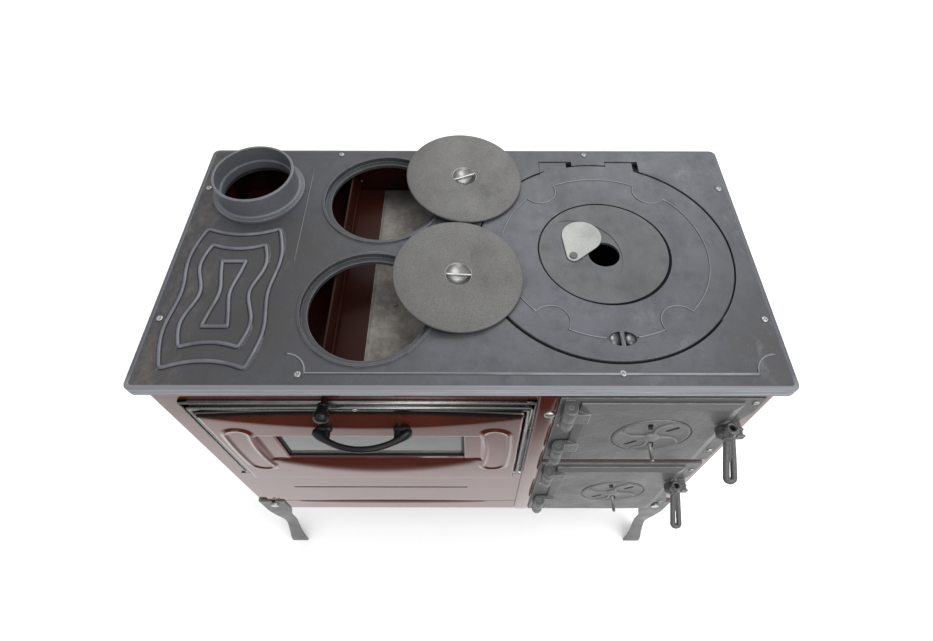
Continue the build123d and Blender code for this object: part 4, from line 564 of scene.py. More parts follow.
@dataclass(frozen=True)
class BareSheet:
    """Unpainted sheet with spangle, dust, soot blotches and scattered grit."""

    name: str
    tone: Colour
    dust: Colour
    soot: Colour
    rough: Pair = (0.45, 0.8)
    metal: float = 0.3
    grit: float = 0.5
    gloss: float = 0.5
    dark_towards_back: Pair | None = None

    def material(self) -> bpy.types.Material:
        """Build the material.

        Returns:
            The finished material.
        """
        recipe = Recipe(self.name)
        spangle = recipe.clouds(40.0, 6.0, 0.75)
        tone = recipe.over(self.tone, self.dust, spangle, (0.38, 0.62))
        blotch = recipe.clouds(9.0, 5.0, 0.7)
        tone = recipe.over(tone, self.soot, blotch, (0.55, 0.78), 0.75)
        grit = recipe.clouds(650.0, 3.0, 0.8)
        tone = recipe.over(tone, self.soot, grit, (0.63, 0.7), self.grit)
        # darker towards the back
        if self.dark_towards_back:
            tone = recipe.over(tone, DARK_BACK_SHEET, recipe.along("Y"), self.dark_towards_back, 0.93)
        recipe.feed("Base Color", tone)
        recipe.feed("Roughness", recipe.grade(blotch, (0.3, 0.7), self.rough))
        recipe.set(Metallic=self.metal, Specular_IOR_Level=self.gloss)
        normal, _ = recipe.soft_edges(0.0008)
        recipe.relief([(spangle, 0.00004), (grit, 0.00003)], normal)
        return recipe.material


@dataclass(frozen=True)
class Moulding:
    """Black moulded plastic or black lacquer with faint flow marks and dust."""

    name: str
    tone: Colour
    haze: Colour
    rough: Pair = (0.26, 0.46)

    def material(self) -> bpy.types.Material:
        """Build the material.

        Returns:
            The finished material.
        """
        recipe = Recipe(self.name)
        flow = recipe.clouds(90.0, 4.0, 0.6, recipe.stretched((0.4, 1.0, 1.0)))
        recipe.feed("Base Color", recipe.over(self.tone, self.haze, flow, (0.45, 0.75), 0.5))
        recipe.feed("Roughness", recipe.grade(flow, (0.3, 0.7), self.rough))
        recipe.set(Specular_IOR_Level=0.22, Coat_Weight=0.05, Coat_Roughness=0.2)
        normal, _ = recipe.soft_edges(0.0008)
        recipe.relief([(recipe.clouds(500.0, 2.0, 0.5), 0.00002)], normal)
        return recipe.material


@dataclass(frozen=True)
class OvenGlass:
    """Clear float glass with its green tint and a film of dust."""

    name: str
    tint: Colour
    film: Colour

    def material(self) -> bpy.types.Material:
        """Build the material.

        Returns:
            The finished material.
        """
        recipe = Recipe(self.name)
        smear = recipe.clouds(12.0, 5.0, 0.65, recipe.stretched((1.0, 1.0, 0.35)))
        recipe.feed("Base Color", recipe.over(self.tint, self.film, smear, (0.35, 0.7)))
        recipe.feed("Roughness", recipe.grade(smear, (0.3, 0.7), (0.03, 0.12)))
        recipe.set(IOR=1.52, Transmission_Weight=0.55, Coat_Weight=0.15, Coat_Roughness=0.02)
        recipe.relief([(recipe.clouds(25.0, 2.0, 0.5), 0.00004)])
        return recipe.material


class Slot(Enum):
    """The record's material slots."""

    PLATE = "plate_iron"
    LID = "lid_iron"
    PALE = "pale_iron"
    DOOR = "door_iron"
    ENAMEL = "enamel"
    INNER = "inner_enamel"
    CHROME = "chrome"
    ZINC = "zinc"
    SHEET = "bare_sheet"
    DARK = "dark_steel"
    BLACK = "black_knob"
    GLASS = "oven_glass"
    LINER = "stone_liner"


class Touch(Enum):
    """Finishes that single pieces take besides the record's slots."""

    RIDGE = "rubbed ridge with painted shade"
    LINE = "rubbed line with painted shade"
    SOCKET = "dark socket"
    ARM = "vent arm"
    NOSE = "rubbed nose with painted top shade"
    CUP = "polished cup"
    GAP_AND_SHADOW = "dark gap and painted shadow"
    SCREW = "dull screw"
    INNER_LID = "inner lid"
    PIN = "bright pin"
    WEB = "lifter web"
    LATCH = "latch casting"
    COLLAR = "flue collar"
    SHIELD = "heat shield"
    DOOR_SKIN = "door enamel"
    GROOVE_SHADOW = "painted groove shadow"


CHESTNUT = (0.056, 0.0128, 0.0073)
CHESTNUT_DEEP = (0.041, 0.0094, 0.0054)
FINISHES = {
    Slot.PLATE: CastIron(
        "slate_plate",
        (0.0605, 0.065, 0.075),
        (0.043, 0.0415, 0.0415),
        (0.17, 0.176, 0.186),
        edge=0.0016,
        scuff_and_side_shade=0.55,
        speck=0.34,
    ),
    Slot.LID: CastIron(
        "ground_lid",
        (0.088, 0.0868, 0.084),
        (0.073, 0.071, 0.068),
        (0.17, 0.17, 0.165),
        rough=(0.45, 0.65),
        speck=0.5,
    ),
    Slot.PALE: CastIron("pale_swivel", (0.24, 0.252, 0.236), (0.2, 0.208, 0.194), (0.4, 0.4, 0.38), speck=0.2),
    Slot.DOOR: CastIron(
        "silver_casting",
        (0.116, 0.117, 0.114),
        (0.086, 0.087, 0.087),
        (0.36, 0.36, 0.35),
        rough=(0.36, 0.54),
        metal=0.3,
        hammer=140.0,
        hammer_depth=0.00035,
        speck=0.25,
        edge=0.002,
    ),
    Slot.ENAMEL: Enamel("chestnut_enamel", CHESTNUT, CHESTNUT_DEEP),
    Slot.INNER: Enamel(
        "inner_enamel",
        (0.0215, 0.0048, 0.003),
        (0.013, 0.0032, 0.002),
        rough=(0.3, 0.45),
        dust=0.08,
        coat=0.0,
        gloss=0.1,
    ),
    Slot.CHROME: Plating(
        "bright_trim",
        (0.24, 0.238, 0.232),
        (0.16, 0.153, 0.144),
        rough=(0.24, 0.34),
        lines=(2.0, 90.0, 90.0),
        line_depth=0.0,
    ),
    Slot.ZINC: Plating("zinc_screw", (0.55, 0.545, 0.52), (0.36, 0.345, 0.31), rough=(0.28, 0.44)),
    Slot.SHEET: BareSheet("dusty_sheet", (0.105, 0.096, 0.084), (0.19, 0.178, 0.158), (0.045, 0.038, 0.032)),
    Slot.DARK: BareSheet("oxide_steel", (0.03, 0.03, 0.031), (0.05, 0.048, 0.045), (0.012, 0.011, 0.01)),
    Slot.BLACK: Moulding("black_knob", (0.0035, 0.0035, 0.0042), (0.009, 0.009, 0.0105)),
    Slot.GLASS: OvenGlass("oven_glass", (0.15, 0.168, 0.158), (0.215, 0.235, 0.22)),
    Slot.LINER: CastIron(
        "fire_liner", (0.07, 0.064, 0.06), (0.1, 0.082, 0.07), (0.15, 0.13, 0.12), rough=(0.6, 0.85), metal=0.1
    ),
    Touch.RIDGE: RubbedRidgeWithPaintedShade("rubbed_ridge_painted_shade", (0.017, 0.018, 0.021), (0.125, 0.131, 0.142), (0.8508, 0.8524)),
    Touch.LINE: RubbedRidgeWithPaintedShade("rubbed_line_painted_shade", (0.052, 0.056, 0.064), (0.185, 0.19, 0.2), (0.8501, 0.8512)),
    Touch.NOSE: RubbedNoseWithTopShade(
        "rubbed_nose_top_shade", (0.06, 0.064, 0.073), (0.325, 0.335, 0.356), (0.205, 0.212, 0.226), (0.132, 0.138, 0.148)
    ),
    Touch.CUP: Plating(
        "polished_cup", (0.27, 0.27, 0.262), (0.16, 0.152, 0.144), rough=(0.36, 0.48), line_depth=0.00002
    ),
    Touch.SOCKET: Plating("dark_socket", (0.17, 0.173, 0.18), (0.06, 0.06, 0.064), rough=(0.3, 0.46)),
    Touch.ARM: CastIron("vent_arm", (0.165, 0.167, 0.162), (0.12, 0.121, 0.12), (0.34, 0.34, 0.33), metal=0.25),
    # near-black matte for dark joints and for painted shadow strips
    Touch.GAP_AND_SHADOW: BareSheet(
        "dark_gap_and_shadow", (0.004, 0.004, 0.004), (0.006, 0.006, 0.006), (0.002, 0.002, 0.002), metal=0.0, gloss=0.03
    ),
    Touch.SCREW: Plating("dull_screw", (0.34, 0.34, 0.34), (0.16, 0.16, 0.16), rough=(0.3, 0.5)),
    Touch.INNER_LID: CastIron(
        "inner_lid_iron", (0.0625, 0.0655, 0.0675), (0.048, 0.0495, 0.051), (0.14, 0.14, 0.14), scuff_and_side_shade=0.2, speck=0.38
    ),
    Touch.PIN: Plating("bright_pin", (0.24, 0.24, 0.23), (0.15, 0.145, 0.14), rough=(0.34, 0.52)),
    Touch.WEB: Plating("lifter_web", (0.5, 0.5, 0.48), (0.3, 0.29, 0.27), rough=(0.4, 0.55)),
    Touch.LATCH: CastIron(
        "latch_casting",
        (0.082, 0.083, 0.082),
        (0.056, 0.056, 0.058),
        (0.34, 0.34, 0.33),
        rough=(0.32, 0.5),
        hammer=240.0,
        hammer_depth=0.0008,
        speck=0.3,
        edge=0.0022,
    ),
    Touch.COLLAR: CastIron(
        "collar_iron", (0.108, 0.115, 0.127), (0.088, 0.092, 0.1), (0.24, 0.246, 0.258), edge=0.0018, speck=0.3
    ),
    Touch.SHIELD: BareSheet(
        "shield_sheet", (0.11, 0.1, 0.088), (0.2, 0.188, 0.167), (0.045, 0.038, 0.032), dark_towards_back=(0.13, 0.25)
    ),
    Touch.DOOR_SKIN: Enamel("door_enamel", CHESTNUT, CHESTNUT_DEEP, top_shadow=(0.7525, 0.7625)),
    # near-black enamel that paints the shade in the pressed groove
    Touch.GROOVE_SHADOW: Enamel(
        "painted_groove_shadow", (0.012, 0.006, 0.0045), (0.008, 0.004, 0.003), rough=(0.3, 0.5), coat=0.0, gloss=0.2
    ),
}
NODE_TOUCHES = {
    "cover_hinge_pins": Touch.GAP_AND_SHADOW,
    "inner_lid": Touch.INNER_LID,
    "handle_studs": Slot.BLACK,
    "front_screws": Touch.PIN,
    "flue_collar": Touch.COLLAR,
    "oven_heat_shield": Touch.SHIELD,
    "door_hinge_pins": Slot.DOOR,
}


class Wardrobe:
    """Makes each finish once and puts it on CAD nodes and new pieces."""

    def __init__(self) -> None:
        """Build every material of the stove."""
        self.materials = {slot: finish.material() for slot, finish in FINISHES.items()}

    def dress(self, piece: Piece, slot: Slot | Touch) -> None:
        """Put a finish on a piece.

        Args:
            piece: the object.
            slot: the finish it takes.
        """
        piece.data.materials.clear()
        piece.data.materials.append(self.materials[slot])

    def dress_nodes(self) -> None:
        """Put every CAD node into the finish that the record gives it, or into the one that NODE_TOUCHES gives it."""
        wanted = {part["node"]: part["material_slot"] for part in frame["record"]["subparts"]}
        for name, node in frame["nodes"].items():
            self.dress(node, NODE_TOUCHES.get(name, Slot(wanted[name])))
            log.info("node %s wears %s", name, wanted[name])


# ------------------------------------------------------------------ mesh making
def turns(steps: int) -> list[float]:
    """Give the equal steps of one full turn, in radians."""
    return [2 * pi * k / steps for k in range(steps)]


class Pattern:
    """Collects turned, swept and boxed shapes in plate measures and makes one piece of them."""

    def __init__(self, name: str) -> None:
        """Start an empty pattern.

        Args:
            name: the name of the piece.
        """
        self.name = name
        self.mesh = bmesh.new()

    def rings(self, loops: list[list[Vector]], closed: bool = False, caps: bool = True) -> None:
        """Skin a row of loops that have the same number of points.

        Args:
            loops: the loops, in metres.
            closed: whether the last loop joins the first.
            caps: whether the two ends are closed by a face.
        """
        rows = [[self.mesh.verts.new(p) for p in loop] for loop in loops]
        count = len(rows[0])
        pairs = list(zip(rows, rows[1:])) + ([(rows[-1], rows[0])] if closed else [])
        for one, two in pairs:
            for i in range(count):
                j = (i + 1) % count
                self.mesh.faces.new((one[i], one[j], two[j], two[i]))
        if caps and not closed:
            self.mesh.faces.new(rows[0][::-1])
            self.mesh.faces.new(rows[-1])

    def turned(self, centre: Vector, axis: Vector, outline: list[Pair], steps: int = 40) -> None:
        """Turn an outline round an axis.

        Args:
            centre: where the axis starts, in metres.
            axis: the direction of the axis.
            outline: pairs of distance along the axis and radius, in millimetres.
            steps: how many sides the turned shape has.
        """
        axis = axis.normalized()
        side = axis.orthogonal().normalized()
        other = axis.cross(side)
        loops = []
        for along, radius in outline:
            middle = centre + axis * (along * MM)
            r = max(radius, 0.01) * MM
            loops.append([middle + side * (r * cos(a)) + other * (r * sin(a)) for a in turns(steps)])
        self.rings(loops)

    def swept(self, path: list[Vector], sizes: list[Pair], up: Vector, closed: bool = False, steps: int = 16) -> None:
        """Sweep an oval along a path.

        Args:
            path: points in metres.
            sizes: half width and half height of the oval at each point, in millimetres.
            up: the direction of the oval's height, square to the path.
            closed: whether the path is a ring.
            steps: how many sides the oval has.
        """
        loops = []
        last = len(path) - 1
        for i, point in enumerate(path):
            before = path[i - 1] if i or closed else point
            after = path[(i + 1) % len(path)] if i < last or closed else point
            along = (after - before).normalized()
            side = along.cross(up).normalized()
            top = side.cross(along).normalized()
            wide, high = sizes[i]
            if after != point:
                wide /= max(0.6, along.dot((after - point).normalized()))
            loops.append([point + side * (wide * MM * cos(a)) + top * (high * MM * sin(a)) for a in turns(steps)])
        self.rings(loops, closed=closed)

    def block(self, low: Triple, high: Triple) -> None:
        """Add a straight block.

        Args:
            low: one corner as x, depth and drop in plate measures.
            high: the opposite corner.
        """
        a, b = spot(*low), spot(*high)
        xs, ys, zs = sorted((a.x, b.x)), sorted((a.y, b.y)), sorted((a.z, b.z))
        plan = ((xs[0], ys[0]), (xs[1], ys[0]), (xs[1], ys[1]), (xs[0], ys[1]))
        self.rings([[Vector((x, y, z)) for x, y in plan] for z in zs])

    def made(self) -> Piece:
        """Turn the pattern into a smooth-shaded object.

        Returns:
            The object, linked into the scene.
        """
        bmesh.ops.remove_doubles(self.mesh, verts=self.mesh.verts, dist=1e-6)
        bmesh.ops.recalc_face_normals(self.mesh, faces=self.mesh.faces)
        data = bpy.data.meshes.new(self.name)
        self.mesh.to_mesh(data)
        self.mesh.free()
        data.polygons.foreach_set("use_smooth", [True] * len(data.polygons))
        piece = bpy.data.objects.new(self.name, data)
        bpy.context.scene.collection.objects.link(piece)
        return piece


def settled(piece: Piece) -> Piece:
    """Apply all modifiers of a piece.

    Args:
        piece: the object with its modifiers.

    Returns:
        The same object with a plain mesh.
    """
    bpy.context.view_layer.update()
    graph = bpy.context.evaluated_depsgraph_get()
    data = bpy.data.meshes.new_from_object(piece.evaluated_get(graph))
    piece.modifiers.clear()
    piece.data = data
    data.polygons.foreach_set("use_smooth", [True] * len(data.polygons))
    return piece


def carved(piece: Piece, cutter: Pattern, crease: float) -> Piece:
    """Cut a pattern out of a piece and split its sharp edges for clean shading.

    Args:
        piece: the object that is cut.
        cutter: the pattern of what is taken away.
        crease: the angle in degrees from which an edge stays sharp.

    Returns:
        The same object with the cut mesh.
    """
    tool = cutter.made()
    cut = piece.modifiers.new("slots", "BOOLEAN")
    cut.operation = "DIFFERENCE"
    cut.solver = "EXACT"
    cut.object = tool
    settled(piece)
    bpy.data.objects.remove(tool)
    split = piece.modifiers.new("crease", "EDGE_SPLIT")
    split.split_angle = radians(crease)
    return settled(piece)


def fused(piece: Piece, grain: float, passes: int) -> Piece:
    """Melt overlapping shapes into one skin, as a casting has.

    Args:
        piece: the object made of overlapping closed shapes.
        grain: the size of the voxels in millimetres.
        passes: how often the skin is smoothed.

    Returns:
        The same object with the melted mesh.
    """
    remesh = piece.modifiers.new("melt", "REMESH")
    remesh.mode = "VOXEL"
    remesh.voxel_size = grain * MM
    smooth = piece.modifiers.new("soften", "SMOOTH")
    smooth.factor = 0.5
    smooth.iterations = passes
    return settled(piece)


def hand_in(
    piece: Piece, body: str, slot: Slot, wardrobe: Wardrobe, *nodes: str, touch: Touch | None = None
) -> None:
    """Dress a new piece, let it ride and let it stand for CAD nodes.

    Args:
        piece: the new object.
        body: the CAD body it moves with.
        slot: the record's slot it belongs to.
        wardrobe: the stove's materials.
        *nodes: the CAD nodes it stands for.
        touch: the finish it takes instead of its slot's own.
    """
    wardrobe.dress(piece, touch or slot)
    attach(piece, body)
    if nodes:
        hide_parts(*nodes)
    log.info("piece %s: %d faces, rides %s, for %s", piece.name, len(piece.data.polygons), body, nodes or "itself")


# ------------------------------------------------------------------ cooking plate
def arc(middle: Pair, radius: float, start: float, end: float, steps: int) -> list[Pair]:
    """Give points on an arc in plan.

    Args:
        middle: x and depth of the arc's middle.
        radius: its radius.
        start: its first angle in degrees, from the right towards the back.
        end: its last angle.
        steps: how many runs it has.

    Returns:
        Pairs of x and depth.
    """
    angles = [radians(start + (end - start) * k / steps) for k in range(steps + 1)]
    return [(middle[0] + radius * cos(a), middle[1] + radius * sin(a)) for a in angles]


@dataclass
class PlateOrnament:
    """What is cast on the cooking plate: ribs, border line, rolled nose and the cover's line."""

    rib_x: float = -345.0
    rib_inset: float = 2.5
    rib_half: Pair = (3.7, 2.9)
    loops: tuple[tuple[float, ...], ...] = (
        (59.0, 72.0, 65.0, 282.0, 27.0, 12.0),
        (43.0, 51.0, 38.0, 249.0, 60.0, 8.0),
        (20.5, 15.0, 10.0, 216.0, 94.0, 0.0),
    )
    corner_reach: tuple[float, ...] = (12.0, 7.0, 3.0)
    border: tuple[float, float, float, float] = (-208.0, 392.0, 23.0, 30.0)
    half_plate: Pair = (440.0, 234.0)
    corner: float = 10.0
    cover: Pair = (215.5, 235.7)
    line_r: float = 158.0
    scallop_r: float = 27.0
    scallops: tuple[float, ...] = (-55.0, 55.0, 125.0, 235.0)
    socket_gap: Pair = (264.2, 279.8)
    inner_gap_r: float = 100.4
    cover_gap_and_shadow_r: float = 196.3
    scale_r: float = 195.55
    scale_spans: tuple[Pair, ...] = ((-8.0, 66.0), (114.0, 160.0))
    border_half: Pair = (1.7, 1.5)
    faint: tuple[Pair, Pair] = ((-257.0, 420.0), (-255.0, 215.0))
    faint_half: Pair = (1.3, 0.7)
    rolls: tuple[tuple[float, float, Pair], ...] = (
        (3.0, 2.4, (4.2, 3.1)),
        (3.6, 6.8, (4.8, 3.2)),
        (3.6, 11.2, (4.8, 3.2)),
        (3.6, 15.7, (4.6, 3.2)),
    )

    def on_cover(self, r: float, angle: float) -> Pair:
        """Give x and depth at a radius and an angle in degrees round the middle of the big cover."""
        return self.cover[0] + r * cos(radians(angle)), self.cover[1] + r * sin(radians(angle))

    def side(self, xs: list[float], back: float, front: float) -> list[Pair]:
        """Draw one waisted side as a smooth curve through five places.

        Args:
            xs: the distances from the middle at the five places.
            back: depth of the first place.
            front: depth of the last place.

        Returns:
            Pairs of distance and depth.
        """
        n = len(xs)
        system = np.eye(n)
        right = np.zeros(n)
        for i in range(1, n - 1):
            system[i, i - 1 : i + 2] = (1, 4, 1)
            right[i] = 6 * (xs[i - 1] - 2 * xs[i] + xs[i + 1])
        bend = np.linalg.solve(system, right)
        points = []
        for i in range(n - 1):
            for k in range(10):
                t = k / 10
                value = (1 - t) * xs[i] + t * xs[i + 1]
                value += ((1 - t) ** 3 - (1 - t)) * bend[i] / 6 + (t**3 - t) * bend[i + 1] / 6
                points.append((float(value), back + (front - back) * (i + t) / (n - 1)))
        return points + [(xs[-1], front)]

    def loop(self, corner: float, bulge: float, waist: float, back: float, front: float, sag: float) -> list[Pair]:
        """Draw the middle line of one rib loop.

        Args:
            corner: half width at the corners.
            bulge: half width at the bulges.
            waist: half width at the waist.
            back: depth of the back edge.
            front: depth of the front edge.
            sag: how far the ends bend inwards.

        Returns:
            Pairs of distance and depth.
        """
        inset = self.rib_inset
        corner, bulge, waist, back, front = corner - inset, bulge - inset, waist - inset, back - inset, front + inset
        right = self.side([corner, bulge, waist, bulge, corner], back, front)
        ends = [corner - 2 * corner * k / 12 for k in range(1, 12)]
        front_end = [(x, front + sag * (1 - (x / corner) ** 2)) for x in ends]
        back_end = [(-x, back - sag * (1 - (x / corner) ** 2)) for x in ends]
        left = [(-x, depth) for x, depth in reversed(right)]
        return right + front_end + left + back_end

    def softened(self, line: list[Pair], reach: float, count: int = 260) -> list[Vector]:
        """Space a closed line evenly and round its corners as a casting has them.

        Args:
            line: the pairs of distance and depth.
            reach: the length over which a corner is rounded.
            count: how many points the new line has.

        Returns:
            The closed line, in metres.
        """
        points = np.array(line + line[:1])
        runs = np.concatenate([[0.0], np.cumsum(np.hypot(*np.diff(points, axis=0).T))])
        even = np.linspace(0.0, runs[-1], count, endpoint=False)
        half = max(1, round(reach * count / runs[-1] / 2))
        xs, depths = (
            sum(np.roll(np.interp(even, runs, points[:, c]), k) for k in range(-half, half + 1)) / (2 * half + 1)
            for c in (0, 1)
        )
        return [spot(self.rib_x + float(x), float(depth), 0.0) for x, depth in zip(xs, depths)]

    def ribs(self) -> Piece:
        """Build the nested rounded ribs in front of the flue collar.

        Returns:
            The ribs.
        """
        pattern = Pattern("plate_ribs")
        for row, reach in zip(self.loops, self.corner_reach):
            path = self.softened(self.loop(*row), reach)
            pattern.swept(path, [self.rib_half] * len(path), UP, closed=True, steps=14)
        return pattern.made()

    def lines(self) -> Piece:
        """Build the border line with its quarter turns and the faint line beside the ribs.

        Returns:
            The lines.
        """
        left, right, depth, turn = self.border
        pattern = Pattern("plate_lines")
        plan = arc((left - turn, depth), turn, 90, 0, 12) + arc((right + turn, depth), turn, 180, 90, 12)
        path = [spot(x, d, 0.1) for x, d in plan]
        pattern.swept(path, [self.border_half] * len(path), UP, steps=10)
        (x, depth), (end_x, end_depth) = self.faint
        faint = [spot(x + (end_x - x) * k / 10, depth + (end_depth - depth) * k / 10, 0.3) for k in range(11)]
        pattern.swept(faint, [self.faint_half] * len(faint), UP, steps=10)
        return pattern.made()

    def nose(self) -> Piece:
        """Build the four rolls of the plate's edge.

        Returns:
            The rolls.
        """
        pattern = Pattern("plate_nose")
        for inset, drop, half in self.rolls:
            wide, deep = self.half_plate[0] - inset, self.half_plate[1] - inset
            r = max(2.0, self.corner - inset)
            plan: list[Pair] = []
            for sx, sy, start in ((1, 1, 0), (-1, 1, 90), (-1, -1, 180), (1, -1, 270)):
                plan += arc((sx * (wide - r), self.half_plate[1] + sy * (deep - r)), r, start, start + 90, 8)
            path = [spot(x, d, drop) for x, d in plan]
            pattern.swept(path, [half] * len(path), UP, closed=True, steps=20)
        return pattern.made()

    def cover_line(self) -> Piece:
        """Build the thin line with four scallops on the big cover.

        Returns:
            The line.
        """
        pattern = Pattern("cover_line")
        offset = 2 * atan2(self.scallop_r / 2, sqrt(self.line_r**2 - (self.scallop_r / 2) ** 2))
        sunk = self.line_r * (1 - cos(offset)) / self.scallop_r
        turn, side = degrees(atan2(sqrt(1 - sunk**2), sunk)), degrees(offset)
        plan: list[Pair] = []
        start = self.socket_gap[1] - 360.0
        for here in self.scallops:
            plan += arc(self.cover, self.line_r, start, here - side, 30)[:-1]
            middle = self.on_cover(self.line_r, here)
            plan += arc(middle, self.scallop_r, here + 180 + turn, here + 180 - turn, 20)
            start = here + side
        plan += arc(self.cover, self.line_r, start, self.socket_gap[0], 14)[1:]
        path = [spot(x, d, 0.15) for x, d in plan]
        pattern.swept(path, [(1.35, 1.2)] * len(path), UP, steps=10)
        return pattern.made()

    def inner_gap(self) -> Piece:
        """Build the dark joint round the inner lid, widest at the front right.

        Returns:
            The joint.
        """
        pattern = Pattern("inner_lid_gap")
        path, sizes = [], []
        for k in range(96):
            degree = 360.0 * k / 96
            lean = max(0.0, cos(radians(degree + 38)))
            path.append(spot(*self.on_cover(self.inner_gap_r - 0.4 * lean, degree), 0.12))
            sizes.append((0.9 + 1.7 * lean, 0.5))
        pattern.swept(path, sizes, UP, closed=True, steps=8)
        return pattern.made()

    def cover_scale(self) -> Piece:
        """Build the scale that half fills the joint behind the big cover.

        Returns:
            The scale.
        """
        pattern = Pattern("cover_rear_scale")
        for start, end in self.scale_spans:
            path = [spot(*self.on_cover(self.scale_r, start + (end - start) * k / 40), -0.9) for k in range(41)]
            pattern.swept(path, [(0.6, 0.8)] * len(path), UP, steps=8)
        return pattern.made()

    def cover_gap_and_shadow(self) -> Piece:
        """Build the dark joint in front of the big cover, widened at the front left into a painted shadow of the
        cover.

        Returns:
            The joint with its painted shadow.
        """
        pattern = Pattern("cover_front_gap_and_shadow")
        path, sizes = [], []
        for k in range(61):
            degree = 170.0 + 150.0 * k / 60
            lean = max(0.0, cos(radians(degree - 243)))
            path.append(spot(*self.on_cover(self.cover_gap_and_shadow_r + 0.5 * lean, degree), 0.1))
            sizes.append((0.4 + 1.5 * lean, 0.45))
        pattern.swept(path, sizes, UP, steps=8)
        return pattern.made()

    def build(self, wardrobe: Wardrobe) -> None:
        """Build and dress the ornament.

        Args:
            wardrobe: the stove's materials.
        """
        hand_in(self.ribs(), "stove", Slot.PLATE, wardrobe, touch=Touch.RIDGE)
        hand_in(self.lines(), "stove", Slot.PLATE, wardrobe, touch=Touch.LINE)
        hand_in(self.nose(), "stove", Slot.PLATE, wardrobe, touch=Touch.NOSE)
        hand_in(self.cover_line(), "cooking_cover", Slot.PLATE, wardrobe, touch=Touch.LINE)
        hand_in(self.inner_gap(), "cooking_cover", Slot.PLATE, wardrobe, touch=Touch.GAP_AND_SHADOW)
        # a dark joint widened into a painted shadow in front of the big cover
        hand_in(self.cover_gap_and_shadow(), "stove", Slot.PLATE, wardrobe, touch=Touch.GAP_AND_SHADOW)
        hand_in(self.cover_scale(), "stove", Slot.PLATE, wardrobe)


@dataclass
class LifterSocket:
    """The two dark cups under a bar in the big cover."""

    x: float = 221.0
    depth: float = 78.0
    half: Pair = (20.5, 12.2)
    bar: float = 1.9
    deep: float = 9.0

    def build(self, wardrobe: Wardrobe) -> None:
        """Build the cups and their bar.

        Args:
            wardrobe: the stove's materials.
        """
        cups = Pattern("lifter_socket_cups")
        reach = (self.half[0] - self.bar) / 2
        for side in (-1, 1):
            middle = self.x + side * (self.bar + reach)
            loops = []
            for k in range(9):
                t = k / 8 * pi / 2
                wide, drop = max(cos(t), 0.02), 0.2 + self.deep * sin(t)
                loops.append([
                    spot(middle + reach * wide * cos(a), self.depth + (self.half[1] - 1.0) * wide * sin(a), drop)
                    for a in turns(32)
                ])
            cups.rings(loops, caps=False)
        hand_in(cups.made(), "cooking_cover", Slot.PLATE, wardrobe, touch=Touch.SOCKET)
        bar = Pattern("lifter_socket_bar")
        path = [spot(self.x - 1.6 * t, self.depth + t * self.half[1], 1.9) for t in (-1, -0.6, -0.2, 0.2, 0.6, 1)]
        bar.swept(path, [(2.0, 1.9)] * 6, UP)
        hand_in(bar.made(), "cooking_cover", Slot.PLATE, wardrobe, touch=Touch.COLLAR)


